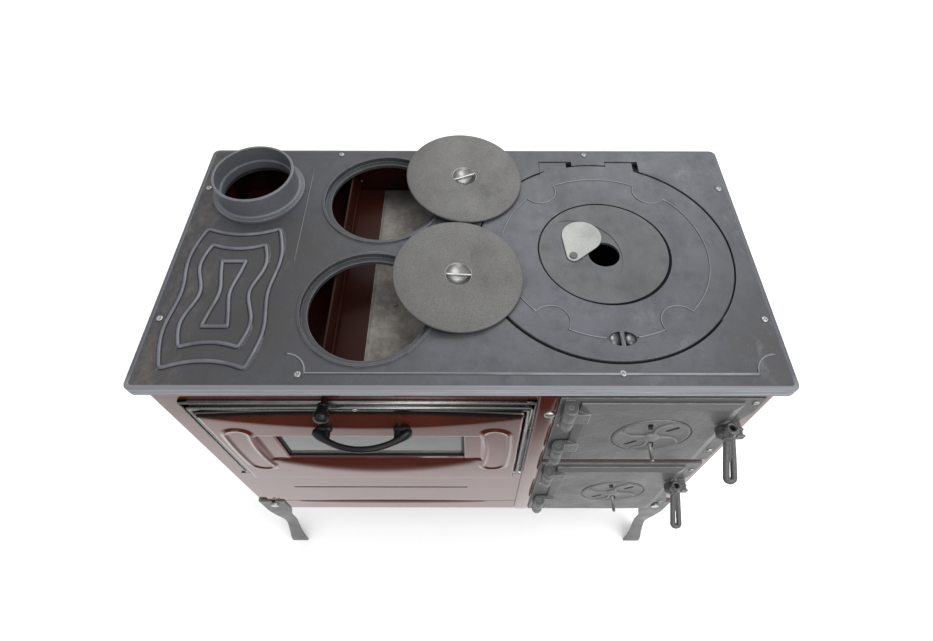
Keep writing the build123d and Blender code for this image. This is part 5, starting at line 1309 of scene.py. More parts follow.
@dataclass
class CookLid:
    """A loose cook lid that lies tilted on the plate, with its polished lifter cup."""

    name: str
    x: float
    depth: float
    bar_turn: float
    r: float = 95.0
    thick: float = 5.0
    cup_r: float = 20.0
    cup_deep: float = 12.0
    bulge_r: float = 26.0
    bulge_deep: float = 16.0
    flat_r: float = 10.0
    low_side: float = -44.0
    gap: float = 0.3

    def tilt(self) -> float:
        """Give how far the lid leans as it rests on its rim and its bulge, in radians."""
        return atan2(self.bulge_deep - self.thick, self.r - self.flat_r)

    def upwards(self) -> Vector:
        """Give the direction of the lid's axis."""
        return Matrix.Rotation(radians(self.low_side), 3, "Z") @ Matrix.Rotation(self.tilt(), 3, "Y") @ UP

    def middle(self) -> Vector:
        """Give the middle of the lid's top face."""
        lift = self.bulge_deep * cos(self.tilt()) + self.flat_r * sin(self.tilt()) + self.gap
        return spot(self.x, self.depth, -lift)

    def cup_line(self, grow: float, steps: int) -> list[Pair]:
        """Give the cup's outline from its bottom to its rim.

        Args:
            grow: how far it is drawn inside the cup.
            steps: how many runs it has.

        Returns:
            Pairs of height along the axis and radius.
        """
        ball = (self.cup_r**2 + self.cup_deep**2) / (2 * self.cup_deep)
        whole = atan2(self.cup_r, ball - self.cup_deep)
        line = []
        for k in range(steps + 1):
            a = whole * k / steps
            line.append(((ball - grow) * -cos(a) + ball - self.cup_deep, (ball - grow) * sin(a)))
        return line

    def build(self, wardrobe: Wardrobe) -> None:
        """Build the lid, its cup and its bar.

        Args:
            wardrobe: the stove's materials.
        """
        up, middle = self.upwards(), self.middle()
        body = f"{self.name}_lid"
        disc = Pattern(f"{self.name}_lid_disc")
        rim = [(0.0, self.cup_r + 1.0), (0.05, 40.0), (0.0, 70.0), (0.0, self.r - 2.2)]
        rim += [(-0.35, self.r - 0.9), (-1.1, self.r - 0.2), (-2.2, self.r), (-self.thick + 1, self.r - 0.1)]
        rim += [(-self.thick + 0.2, self.r - 0.8), (-self.thick, self.r - 1.8), (-self.thick, self.bulge_r + 2)]
        rim += [(-self.thick - 0.6, self.bulge_r), (-self.bulge_deep + 0.6, self.flat_r + 1)]
        rim += [(-self.bulge_deep, self.flat_r - 1), (-self.bulge_deep, 0)]
        disc.turned(middle, up, self.cup_line(0.0, 10) + rim, 120)
        hand_in(disc.made(), body, Slot.LID, wardrobe, body)
        bar_side = Vector((cos(radians(self.bar_turn)), sin(radians(self.bar_turn)), 0))
        across = (bar_side - up * bar_side.dot(up)).normalized()
        cup = Pattern(f"{self.name}_lid_cup")
        cup.turned(middle, up, self.cup_line(0.4, 14) + self.cup_line(0.08, 14)[::-1], 72)
        hand_in(cup.made(), body, Slot.LID, wardrobe, touch=Touch.CUP)
        web = Pattern(f"{self.name}_lid_web")
        path = [middle + across * (t * MM) + up * ((-2.6 - 0.6 * (1 - (t / 20) ** 2)) * MM)
                for t in (-19.4, -16, -12, -8, -4, 0, 4, 8, 12, 16, 19.4)]
        web.swept(path, [(1.35, 3.0)] * len(path), up, steps=14)
        hand_in(web.made(), body, Slot.LID, wardrobe, touch=Touch.WEB)


# ------------------------------------------------------------------ oven trim
@dataclass
class OvenTrim:
    """The bright moulded frame round the top and sides of the oven door."""

    left: float = -398.0
    right: float = 105.0
    top: float = 60.0
    stile_bottom: float = 352.0
    stile: float = 14.0
    rail: float = 24.0
    front: float = 10.6
    back: float = 14.0
    beads: tuple[tuple[float, float, float, Pair], ...] = (
        (1.7, 2.4, 10.8, (1.7, 3.0)),
        (9.8, 18.8, 9.6, (4.2, 3.6)),
    )

    def run(self, aside: float, down: float, depth: float) -> list[Vector]:
        """Give the line of one bead, up the left stile, along the rail and down the right stile.

        Args:
            aside: how far it runs inside the outer edge of the stiles.
            down: how far it runs below the top of the rail.
            depth: its depth behind the front edge of the cooking plate.

        Returns:
            The four corners of the line, in metres.
        """
        places = [(self.left + aside, self.stile_bottom), (self.left + aside, self.top + down),
                  (self.right - aside, self.top + down), (self.right - aside, self.stile_bottom)]
        return [spot(x, depth, drop) for x, drop in places]

    def build(self, wardrobe: Wardrobe) -> None:
        """Build and dress the frame.

        Args:
            wardrobe: the stove's materials.
        """
        pattern = Pattern("oven_trim_moulding")
        for aside, down, depth, half in self.beads:
            pattern.swept(self.run(aside, down, depth), [half] * 4, FRONT, steps=18)
        for left, right, low in (
            (self.left, self.left + self.stile, self.stile_bottom),
            (self.right - self.stile, self.right, self.stile_bottom),
            (self.left, self.right, self.top + self.rail),
        ):
            pattern.block((left, self.front, self.top), (right, self.back, low))
        hand_in(pattern.made(), "stove", Slot.CHROME, wardrobe, "oven_trim")


# ------------------------------------------------------------------ fire side
@dataclass
class VentDisc:
    """A turning vent disc with four slots, four curved arms, a hub and a pin."""

    name: str
    drop: float
    x: float = 287.0
    r: float = 58.0
    depth: Pair = (0.1, 3.1)
    slots: tuple[float, ...] = (45.0, 105.0, 225.0, 285.0)
    slot_from: float = 24.0
    slot_to: float = 48.0
    slot_half: float = 4.0
    arms: tuple[float, ...] = (75.0, 165.0, 255.0, 345.0)
    arm_from: float = 6.0
    arm_reach: float = 44.0
    arm_bow: float = 16.0
    arm_sweep: float = 10.0
    hub: tuple[Pair, ...] = ((0, 13), (1.6, 13), (3.4, 11.6), (4.7, 8.6), (5.4, 4.4), (5.5, 0))
    pin: tuple[float, float, float, float] = (6.0, 31.0, 2.8, 30.0)

    def place(self, r: float, angle: float, depth: float) -> Vector:
        """Give a point on the disc at a radius, an angle in degrees and a depth."""
        return spot(self.x + r * cos(radians(angle)), depth, self.drop - r * sin(radians(angle)))

    def build(self, wardrobe: Wardrobe) -> None:
        """Build and dress the disc and its pin.

        Args:
            wardrobe: the stove's materials.
        """
        body = f"{self.name}_vent_disc"
        disc = Pattern(f"{self.name}_vent_plate")
        front, back = self.depth
        thick = back - front
        profile = [(0, 0), (0, self.r - 0.6), (0.5, self.r), (thick - 0.9, self.r), (thick, self.r - 1.0)]
        profile += [(thick + 0.5, self.r - 2.4), (thick + 0.5, self.r - 4.4), (thick, self.r - 6)]
        profile += [(thick, 16), (thick, 0)]
        disc.turned(spot(self.x, back, self.drop), FRONT, profile, 96)
        plate = disc.made()
        cutter = Pattern("slot_cutter")
        for angle in self.slots:
            plan = arc((self.slot_to - self.slot_half, 0), self.slot_half, -90, 90, 8)
            plan += arc((self.slot_from + self.slot_half, 0), self.slot_half, 90, 270, 8)
            out, side = radians(angle), radians(angle + 90)
            places = [
                (self.x + along * cos(out) + across * cos(side), self.drop - along * sin(out) - across * sin(side))
                for along, across in plan
            ]
            cutter.rings([[spot(x, depth, drop) for x, drop in places] for depth in (front - 4, back + 4)])
        hand_in(carved(plate, cutter, 40), body, Slot.DOOR, wardrobe, body)
        arms = Pattern(f"{self.name}_vent_arms")
        for angle in self.arms:
            path, sizes = [], []
            for k in range(15):
                t = k / 14
                turn = self.arm_bow * sin(t * pi) - self.arm_sweep * t
                path.append(self.place(self.arm_from + t * self.arm_reach, angle + turn, front - 0.4))
                sizes.append((3.4 - 1.5 * t, 2.4 - 1.2 * t))
            arms.swept(path, sizes, FRONT, steps=14)
        arms.turned(spot(self.x, front + 0.5, self.drop), FRONT, list(self.hub), 40)
        hand_in(arms.made(), body, Slot.DOOR, wardrobe, touch=Touch.ARM)
        aside, below, radius, long = self.pin
        pin = Pattern(f"{self.name}_vent_pin")
        start = spot(self.x + aside, front + 1.0, self.drop + below)
        profile = [(0, radius + 1.6), (1.6, radius + 1.5), (3, radius), (long - 4, radius - 0.1)]
        profile += [(long - 2, radius + 0.4), (long - 0.4, radius - 0.5), (long, radius - 1.6), (long, 0)]
        pin.turned(start, FRONT, profile, 28)
        hand_in(pin.made(), body, Slot.DOOR, wardrobe, touch=Touch.PIN)


@dataclass
class HingeLugs:
    """Rounded cast lugs over the straight hinge barrels of one cast door."""

    name: str
    body: str
    spans: tuple[Pair, ...]
    x: float = 150.0
    depth: float = -3.0
    r: float = 10.5

    def build(self, wardrobe: Wardrobe) -> None:
        """Build and dress the lugs.

        Args:
            wardrobe: the stove's materials.
        """
        pattern = Pattern(self.name)
        r = self.r
        for top, bottom in self.spans:
            long = bottom - top
            profile = [(0.05, 0), (0.05, 4.6), (0.9, 7.4), (2.6, 9.4), (5.0, r), (long - 6, r - 0.1)]
            profile += [(long - 3.6, r - 0.9), (long - 3.0, r - 0.6), (long - 1.2, r - 0.9), (long - 0.3, r - 3.0)]
            profile += [(long - 0.05, 4.4), (long - 0.05, 0)]
            pattern.turned(spot(self.x, self.depth, top), DOWN, profile, 48)
        hand_in(pattern.made(), self.body, Slot.DOOR, wardrobe)


# ------------------------------------------------------------------ oven door
@dataclass
class OvenDoor:
    """The pressed enamel front of the oven door, its seal, a painted shadow strip along its top edge and its bow
    handle.
    """

    left: float = -382.0
    right: float = 89.0
    top: float = 86.0
    bottom: float = 358.0
    front_depth: float = 0.8
    back_depth: float = 10.0
    window_x: Pair = (-292.0, 2.0)
    window_drop: Pair = (166.0, 260.0)
    field_side: float = 28.0
    field_rise: float = 3.0
    field_deep: float = 2.6
    lobe_in: float = 38.0
    lobe_drop: float = 220.0
    lobe_half: float = 63.0
    lobe_r: float = 21.0
    upper_sag: float = 36.0
    lower_sag: float = 54.0
    step: float = 2.0
    handle_chord: float = 144.0
    handle_sag: float = 30.0
    handle_depth: float = -6.0
    handle_drop: float = 120.0
    feet_depth: float = -4.6
    feet_drop: float = 120.5
    feet: tuple[tuple[float, Pair], ...] = (
        (45.0, (2.6, 3.4)),
        (46.5, (4.6, 5.4)),
        (50.0, (5.7, 6.6)),
        (57.0, (5.8, 6.8)),
        (64.0, (5.6, 6.6)),
        (68.5, (4.4, 5.2)),
        (70.0, (2.4, 3.2)),
    )
    gasket_in: float = 2.0
    gasket_depth: float = 9.2
    lug_long: float = 14.0
    lug_place: Pair = (10.0, 348.0)

    def inside(self, places: np.ndarray, span: Pair) -> np.ndarray:
        """Tell which gaps between grid lines have their middle inside a span."""
        middles = (places[:-1] + places[1:]) / 2
        return (middles > span[0]) & (middles < span[1])

    def lines(self, stops: list[float], step: float) -> np.ndarray:
        """Give grid lines that pass exactly through some stops.

        Args:
            stops: the places that get a line.
            step: the widest gap between lines.

        Returns:
            The places of all lines.
        """
        runs = [np.linspace(a, b, max(2, int(abs(b - a) / step) + 1))[:-1] for a, b in zip(stops, stops[1:])]
        return np.concatenate(runs + [np.array([stops[-1]])])

    def relief(self, x: np.ndarray, drop: np.ndarray) -> np.ndarray:
        """Give how far the pressed sheet lies in front of its flat face.

        Args:
            x: places across the door.
            drop: places down the door.

        Returns:
            The heights in millimetres.
        """
        middle = (self.left + self.right) / 2
        half = (self.right - self.left) / 2
        height = np.zeros(np.broadcast(x, drop).shape)
        # bay under the top edge, sloping out to an arc
        upper_arc = self.top + 7 + self.upper_sag * np.clip(1 - ((x - middle) / (half - 6)) ** 2, 0, 1)
        height -= 0.17 * 2.2 * np.log1p(np.exp(np.clip((upper_arc - drop) / 2.2, -30, 28)))
        # bay under the window, sloping out to a second arc
        field_mid = sum(self.window_x) / 2
        field_half = (self.window_x[1] - self.window_x[0]) / 2 + self.field_side
        lower_top = self.window_drop[1] + self.field_rise + 4
        swell = np.clip(1 - ((x - field_mid) / field_half) ** 2, 0, 1)
        lower_arc = lower_top + self.lower_sag * swell
        inside = (drop >= lower_top - 6) & (swell > 0)
        bay = 4.0 * np.log1p(np.exp(np.clip((lower_arc - drop) / 4.0, -30, 15)))
        height -= np.where(inside, 0.19 * bay * np.clip(swell * 6, 0, 1), 0)
        # sunken field round the window with soft walls
        across = np.abs(x - field_mid) - field_half
        window_top, window_low = self.window_drop
        down = np.abs(drop - (window_top + window_low) / 2) - (window_low - window_top) / 2 - self.field_rise
        gap = np.maximum(across, down)
        height -= self.field_deep * (1 / (1 + np.exp(np.clip(gap * 1.6, -30, 30))))
        # ring-shaped beads of the two lobes
        for lobe_x in (self.left + self.lobe_in, self.right - self.lobe_in):
            out = -1.0 if lobe_x < middle else 1.0
            along = np.clip((drop - self.lobe_drop) / (self.lobe_half + self.lobe_r), -1, 1)
            bow = lobe_x + out * (7.0 * (1 - along**2) - 3.0)
            reach = np.clip(np.abs(drop - self.lobe_drop) - self.lobe_half, 0, None)
            away = np.hypot(x - bow, reach) - self.lobe_r + 3.0 * (1 - along**2)
            height += 2.2 * np.exp(-((away / 3.2) ** 2)) + 0.8 / (1 + np.exp(np.clip(away * 1.4, -30, 30)))
        # rolled rim
        rim = np.minimum(
            np.minimum(x - self.left, self.right - x), np.minimum(drop - self.top, self.bottom - drop)
        )
        roll = np.clip(1 - rim / 4.0, 0, 1)
        return height - 4.0 * (1 - np.sqrt(np.clip(1 - roll**2, 0, 1)))

    def skin(self) -> Piece:
        """Build the pressed sheet with its window, back and hinge lugs.

        Returns:
            The door's front.
        """
        xs = self.lines([self.left, *self.window_x, self.right], self.step)
        drops = self.lines([self.top, *self.window_drop, self.bottom], self.step)
        grid_x, grid_d = np.meshgrid(xs, drops, indexing="ij")
        front = self.front_depth - self.relief(grid_x, grid_d)
        front = np.minimum(front, self.back_depth - 0.6)
        pattern = Pattern("oven_door_pressing")
        mesh = pattern.mesh
        rows, columns = grid_x.shape
        sheets = []
        for depth in (front, np.full_like(front, self.back_depth)):
            sheets.append(
                [
                    [mesh.verts.new(spot(grid_x[i, j], depth[i, j], grid_d[i, j])) for j in range(columns)]
                    for i in range(rows)
                ]
            )

        # a border of empty cells lies round the grid, so cell i, j is solid[i + 1, j + 1]
        window = np.logical_and.outer(self.inside(xs, self.window_x), self.inside(drops, self.window_drop))
        solid = np.pad(~window, 1)
        one, two = sheets
        for i in range(rows - 1):
            for j in range(columns - 1):
                if not solid[i + 1, j + 1]:
                    continue
                mesh.faces.new((one[i][j], one[i + 1][j], one[i + 1][j + 1], one[i][j + 1]))
                mesh.faces.new((two[i][j], two[i][j + 1], two[i + 1][j + 1], two[i + 1][j]))
                for di, dj, a, b in ((-1, 0, (i, j), (i, j + 1)), (1, 0, (i + 1, j + 1), (i + 1, j)),
                                     (0, -1, (i + 1, j), (i, j)), (0, 1, (i, j + 1), (i + 1, j + 1))):
                    if not solid[i + 1 + di, j + 1 + dj]:
                        mesh.faces.new((one[a[0]][a[1]], one[b[0]][b[1]], two[b[0]][b[1]], two[a[0]][a[1]]))
        long = self.lug_long
        for x in (self.left, self.right - long):
            profile = [(0, 0), (0, 6), (1, 7), (long - 1, 7), (long, 6), (long, 0)]
            pattern.turned(spot(x, *self.lug_place), RIGHT, profile)
        return pattern.made()

    def gasket(self) -> Piece:
        """Build the black seal that shows round the glass.

        Returns:
            The seal.
        """
        pattern = Pattern("window_gasket")
        left, right = self.window_x[0] + self.gasket_in, self.window_x[1] - self.gasket_in
        top, bottom = self.window_drop[0] + self.gasket_in, self.window_drop[1] - self.gasket_in
        plan = ((left, top), (right, top), (right, bottom), (left, bottom))
        corners = [spot(x, self.gasket_depth, drop) for x, drop in plan]
        path: list[Vector] = []
        for a, b in zip(corners, corners[1:] + corners[:1]):
            path += [a.lerp(b, t) for t in (0.02, 0.2, 0.4, 0.6, 0.8, 0.98)]
        pattern.swept(path, [(3.0, 1.1)] * len(path), FRONT, closed=True, steps=12)
        return pattern.made()

    def top_shadow_strip(self) -> Piece:
        """Build a near-black strip along the door's top that paints the shadow under the trim.

        Returns:
            The strip, which follows the pressed sheet.
        """
        xs = np.linspace(self.left + 3.0, self.right - 3.0, 41)
        drop = self.top + 3.6
        depths = self.front_depth - self.relief(xs, np.full_like(xs, drop + 2.0))
        pattern = Pattern("oven_door_top_shadow_strip")
        path = [spot(float(x), min(float(depth), 8.6) + 0.7, drop) for x, depth in zip(xs, depths)]
        pattern.swept(path, [(1.5, 4.8)] * len(path), UP, steps=12)
        return pattern.made()

    def handle_feet(self) -> Piece:
        """Build the thick feet by which the handle stands on the door.

        Returns:
            The two feet.
        """
        middle = (self.left + self.right) / 2
        pattern = Pattern("bow_handle_feet")
        for side in (-1, 1):
            path = [spot(middle + side * x, self.feet_depth, self.feet_drop) for x, _ in self.feet]
            pattern.swept(path, [size for _, size in self.feet], UP, steps=20)
        return pattern.made()

    def handle(self) -> Piece:
        """Build the bow handle, thick where its studs enter and slim in the middle.

        Returns:
            The handle.
        """
        middle = (self.left + self.right) / 2
        chord, sag, end_depth, drop = self.handle_chord, self.handle_sag, self.handle_depth, self.handle_drop
        bow_r = ((chord / 2) ** 2 + sag**2) / (2 * sag)
        path, sizes = [], []
        for k in range(41):
            t = k / 40 * 2 - 1
            x = middle + t * chord / 2
            depth = end_depth - sag + bow_r - sqrt(bow_r**2 - (x - middle) ** 2)
            foot = min(1.0, max(0.0, (abs(t) - 0.6) / 0.24)) ** 2
            tip = min(1.0, sqrt(max(0.0, 1 - max(0.0, (abs(t) - 0.96) / 0.04) ** 2)) + 0.25)
            path.append(spot(x, depth, drop))
            sizes.append(((4.5 + 2.3 * foot) * tip, (6.0 + 2.6 * foot) * tip))
        pattern = Pattern("bow_handle")
        pattern.swept(path, sizes, UP, steps=24)
        return pattern.made()

    def build(self, wardrobe: Wardrobe) -> None:
        """Build and dress the door's pieces.

        Args:
            wardrobe: the stove's materials.
        """
        hand_in(self.skin(), "oven_door", Slot.ENAMEL, wardrobe, "oven_door_skin", touch=Touch.DOOR_SKIN)
        hand_in(self.gasket(), "oven_door", Slot.BLACK, wardrobe)
        hand_in(self.handle(), "oven_door", Slot.BLACK, wardrobe, "oven_handle")
        hand_in(self.handle_feet(), "oven_door", Slot.BLACK, wardrobe)
        # a near-black strip that paints the shadow under the trim
        hand_in(self.top_shadow_strip(), "oven_door", Slot.ENAMEL, wardrobe, touch=Touch.GAP_AND_SHADOW)


# ------------------------------------------------------------------ casing
@dataclass
class CasingFolds:
    """Folded edges of the front casing: the post's rounded fold, a painted shadow in the groove and the lens over the
    plinth.
    """

    post: tuple[float, float, float, float] = (120.0, 13.4, 28.0, 588.0)
    post_high: float = 3.4
    post_face: float = 11.0
    face: float = 12.0
    groove: Triple = (-333.0, 4.0, 446.0)
    lens: tuple[float, float, float, float] = (-352.0, 46.0, 532.0, 548.0)
    lens_high: float = 2.6

    def post_fold(self) -> Piece:
        """Build the rounded fold that runs down the centre post.

        Returns:
            The fold.
        """
        x, half, top, bottom = self.post
        pattern = Pattern("centre_post_fold")
        loops = []
        for share in (0.0, 0.01, 0.03, 0.5, 0.97, 0.99, 1.0):
            drop = top + (bottom - top) * share
            high = self.post_high * min(1.0, 0.35 + 22 * min(share, 1 - share))
            ring = []
            for k in range(25):
                a = pi * k / 24
                swell = (1 - abs(cos(a)) ** 2.6) ** (1 / 2.6)
                ring.append(spot(x - half * cos(a), self.post_face - high * swell, drop))
            base = self.post_face + 0.4
            loops.append(ring + [spot(x + half, base, drop), spot(x - half, base, drop)])
        pattern.rings(loops)
        return pattern.made()

    def groove_shadow_strip(self) -> Piece:
        """Build a near-black strip that paints the shade in the bottom of the lower panel's pressed groove.

        Returns:
            The painted groove shadow.
        """
        left, right, drop = self.groove
        pattern = Pattern("lower_panel_groove_shadow")
        path = [spot(left + (right - left) * k / 12, self.face + 0.9, drop) for k in range(13)]
        pattern.swept(path, [(2.6, 0.7)] * len(path), FRONT, steps=10)
        return pattern.made()

    def plinth_lens(self) -> Piece:
        """Build the long pressed lens over the plinth that leans back at its top.

        Returns:
            The lens.
        """
        left, right, top, bottom = self.lens
        pattern = Pattern("plinth_lens")
        loops = []
        for k in range(49):
            t = k / 48
            swell = max(0.04, (1 - (2 * t - 1) ** 2) ** 0.5)
            x = left + (right - left) * t
            middle = top + (bottom - top) * 0.62
            high, low = middle - (middle - top) * swell, middle + (bottom - middle) * swell
            lift = self.lens_high * swell
            loops.append([
                spot(x, self.face + 0.3, high - 0.3),
                spot(x, self.face - 0.1 * lift, high + 0.6),
                spot(x, self.face - 0.92 * lift, low - 2.4 * swell),
                spot(x, self.face - lift, low - 1.4 * swell),
                spot(x, self.face - 0.8 * lift, low - 0.5 * swell),
                spot(x, self.face + 0.3, low),
            ])
        pattern.rings(loops)
        return pattern.made()

    def build(self, wardrobe: Wardrobe) -> None:
        """Build and dress the folds.

        Args:
            wardrobe: the stove's materials.
        """
        hand_in(self.post_fold(), "stove", Slot.ENAMEL, wardrobe)
        hand_in(self.groove_shadow_strip(), "stove", Slot.ENAMEL, wardrobe, touch=Touch.GROOVE_SHADOW)
        hand_in(self.plinth_lens(), "stove", Slot.ENAMEL, wardrobe)


# ------------------------------------------------------------------ latches
@dataclass
class Latch:
    """A cast latch: hub, tongue, eye for the lid lifter and a long link to pull."""

    name: str
    drop: float
    x: float = 383.0
    hub_r: float = 14.0
    hub_depth: Pair = (-20.0, -2.3)
    eye_r: float = 9.6
    eye_hole_r: float = 4.5
    link_length: float = 58.5
    link_outer: float = 21.2
    strand: float = 9.4
    link_run: Triple = (2.0, -49.0, -35.0)
    link_start: Triple = (7.0, -17.0, 8.0)
    eye_depth: float = -14.0
    eye_above: float = 26.0
    tongue_depth: float = -5.7
    tongue: tuple[tuple[float, Pair], ...] = (
        (4.0, (3.2, 4.6)),
        (12.0, (3.2, 4.4)),
        (20.0, (3.1, 4.0)),
        (26.0, (2.7, 3.4)),
        (27.6, (1.2, 1.8)),
    )

    def casting(self) -> Piece:
        """Build the latch as one melted skin.

        Returns:
            The latch.
        """
        pattern = Pattern(f"{self.name}_latch_casting")
        x, drop = self.x, self.drop
        long = self.hub_depth[1] - self.hub_depth[0]
        r = self.hub_r
        profile = [(0, 7.2), (0.2, 10), (2.2, r - 1.4), (4.5, r), (long - 2.5, r), (long, r - 1.5)]
        profile += [(long, 5.5), (2.0, 5.5), (0, 7.2)]
        pattern.turned(spot(x, self.hub_depth[0], drop), BACK, profile, 48)
        tongue = [spot(x + reach, self.tongue_depth, drop) for reach, _ in self.tongue]
        pattern.swept(tongue, [size for _, size in self.tongue], UP)
        eye = spot(x, self.eye_depth, drop - self.eye_above)
        hole, outer = self.eye_hole_r, self.eye_r
        profile = [(14, 0), (14, hole), (0.8, hole), (0, hole + 1), (0, outer - 2), (1.2, outer - 0.4)]
        profile += [(3, outer), (13, outer), (17, outer - 1), (20, 0)]
        pattern.turned(eye, DOWN, profile, 40)
        run = Vector(self.link_run).normalized()
        side = run.cross(run.cross(RIGHT).normalized()).normalized()
        aside, depth, below = self.link_start
        start = spot(x + aside, depth, drop + below)
        middle = start + run * (self.link_length / 2 * MM)
        half = self.link_length / 2
        ring = (self.link_outer - self.strand) / 2
        path, sizes = [], []
        for a in turns(72):
            along = ring * sin(a) + (half - 2) * (1 if sin(a) > 0 else -1) * min(1, abs(sin(a)) * 3)
            across = ring * cos(a) * (0.72 + 0.3 * (along + half) / (2 * half))
            path.append(middle + side * (across * MM) + run * (along * MM))
            sizes.append((self.strand / 2, self.strand / 2 + 0.3))
        pattern.swept(path, sizes, run.cross(side), closed=True, steps=14)
        piece = pattern.made()
        return fused(piece, 0.8, 6)

    def build(self, wardrobe: Wardrobe) -> None:
        """Build and dress the latch.

        Args:
            wardrobe: the stove's materials.
        """
        name = f"{self.name}_latch"
        hand_in(self.casting(), name, Slot.DOOR, wardrobe, name, touch=Touch.LATCH)


# ------------------------------------------------------------------ legs
@dataclass
class Leg:
    """A cast corner leg with a waisted, outward-curving foot."""

    name: str
    side: int
    end: int
    out_x: float = 434.0
    front_depth: float = 9.0
    plate_depth: float = 468.0
    thick: float = 5.0
    web_end: float = 592.0
    bolt_in: float = 32.0
    slot_drops: Pair = (556.0, 530.0)
    sections: tuple[Triple, ...] = (
        (538.0, 0.0, 54.0),
        (592.0, 0.0, 54.0),
        (655.0, 3.0, 37.0),
        (720.0, 7.0, 27.0),
        (785.0, 0.0, 30.0),
        (850.0, -8.0, 40.0),
    )

    def eased(self, drop: float) -> Pair:
        """Give how far the corner leans in and how wide its webs are, on a smooth curve.

        Args:
            drop: the height of the section below the cooking surface.

        Returns:
            The lean and the width.
        """
        rows = self.sections
        k = max(i for i in range(len(rows) - 1) if rows[i][0] <= drop + 1e-6)
        p1, p2 = rows[k], rows[k + 1]
        p0, p3 = rows[max(k - 1, 0)], rows[min(k + 2, len(rows) - 1)]
        t = (drop - p1[0]) / (p2[0] - p1[0])
        values = []
        for c in (1, 2):
            m1 = 0.0 if k == 0 or p1[0] == self.web_end else (p2[c] - p0[c]) / (p2[0] - p0[0])
            m2 = 0.0 if p2[0] == self.web_end else (p3[c] - p1[c]) / (p3[0] - p1[0]) if k + 2 < len(rows) else 0.0
            h = p2[0] - p1[0]
            values.append(
                (2 * t**3 - 3 * t**2 + 1) * p1[c]
                + (t**3 - 2 * t**2 + t) * h * m1
                + (3 * t**2 - 2 * t**3) * p2[c]
                + (t**3 - t**2) * h * m2
            )
        return values[0], values[1]

    def outline(self, lean: float, web: float) -> list[Pair]:
        """Give the angle section of the leg with rounded edges.

        Args:
            lean: how far the corner leans inwards.
            web: the width of the two webs.

        Returns:
            Points as distances inwards from the outer corner, along x and along the depth.
        """
        t, r = self.thick, 1.4
        corner = [(3.5 - 3.5 * sin(a), 3.5 - 3.5 * cos(a)) for a in (radians(d) for d in (0, 22, 45, 68, 90))]
        one = [(web - r, 0), (web - 0.4, 0.4), (web, r), (web, t - r), (web - 0.4, t - 0.4), (web - r, t)]
        inner = [(t + 4, t), (t + 1.2, t + 1.2), (t, t + 4)]
        two = [(b, a) for a, b in reversed(one)]
        return [(lean + a, lean + b) for a, b in one + inner + two + corner[::-1]]

    def casting(self) -> Piece:
        """Build the leg and cut the two bolt slots into its top.

        Returns:
            The leg.
        """
        corner_depth = self.front_depth if self.end < 0 else self.plate_depth - self.front_depth
        pattern = Pattern(f"{self.name}_leg_casting")
        loops = []
        top, foot = self.sections[0][0], self.sections[-1][0]
        for drop in np.concatenate([np.linspace(top, self.web_end, 5), np.linspace(self.web_end + 8, foot, 34)]):
            lean, web = self.eased(float(drop))
            loops.append(
                [
                    spot(self.side * (self.out_x - a), corner_depth - self.end * b, float(drop))
                    for a, b in self.outline(lean, web)
                ]
            )
        pattern.rings(loops)
        leg = pattern.made()
        cutter = Pattern("slot_cutter")
        x, depth = self.side * (self.out_x - self.bolt_in), corner_depth - self.end * self.bolt_in
        for centre, axis in (
            ((x, corner_depth - self.end * self.thick / 2), BACK),
            ((self.side * (self.out_x - self.thick / 2), depth), RIGHT),
        ):
            along = axis * 6 * MM
            across = Vector((axis.y, axis.x, 0)) * 4.5 * MM
            base = spot(centre[0], centre[1], 0)
            loops = []
            for drop in self.slot_drops:
                middle = Vector((base.x, base.y, (TOP_HEIGHT - drop) * MM))
                loops.append([middle - along - across, middle + along - across, middle + along + across,
                              middle - along + across])
            cutter.rings(loops)
        return carved(leg, cutter, 50)

    def build(self, wardrobe: Wardrobe) -> None:
        """Build and dress the leg.

        Args:
            wardrobe: the stove's materials.
        """
        hand_in(self.casting(), "stove", Slot.DOOR, wardrobe, f"{self.name}_leg")


# ------------------------------------------------------------------ screws
class Drive(Enum):
    """What is cut into a screw's head."""

    CROSS = "cross"
    PLAIN = "plain"


@dataclass
class ScrewSet:
    """A row of equal screw heads that stand on one face."""

    name: str
    places: list[Triple]
    axis: Triple
    head_r: float
    head_high: float
    drive: Drive
    nodes: tuple[str, ...] = ()
    touch: Touch | None = None

    def heads(self) -> Piece:
        """Build all heads as one piece.

        Returns:
            The heads.
        """
        pattern = Pattern(self.name)
        axis = Vector(self.axis).normalized()
        steps, rings = 48, 9
        side = RIGHT
        other = axis.cross(side)
        outline = [(0.0, 1.0), (0.25, 1.0)]
        outline += [(0.25 + 0.75 * sin(a), cos(a)) for a in (pi / 2 * k / rings for k in range(1, rings))]
        outline += [(1.0, 0.02)]
        for number, (x, depth, drop) in enumerate(self.places):
            base = spot(x, depth, drop)
            turn = 0.7 * number + 0.3
            loops = []
            for share, wide in outline:
                loop = []
                for k in range(steps):
                    a = 2 * pi * k / steps + turn
                    r = wide * self.head_r
                    u, v = r * cos(a - turn), r * sin(a - turn)
                    high = share * self.head_high
                    if self.drive is Drive.CROSS and r < 0.62 * self.head_r:
                        arm = min(abs(u), abs(v))
                        high -= 0.75 * self.head_high * max(0.0, 1 - (arm / (0.2 * self.head_r)) ** 2)
                    loop.append(base + (side * cos(a) + other * sin(a)) * (r * MM) + axis * (high * MM))
                loops.append(loop)
            pattern.rings(loops)
        return pattern.made()

    def build(self, wardrobe: Wardrobe) -> None:
        """Build and dress the heads.

        Args:
            wardrobe: the stove's materials.
        """
        hand_in(self.heads(), "stove", Slot.ZINC, wardrobe, *self.nodes, touch=self.touch)


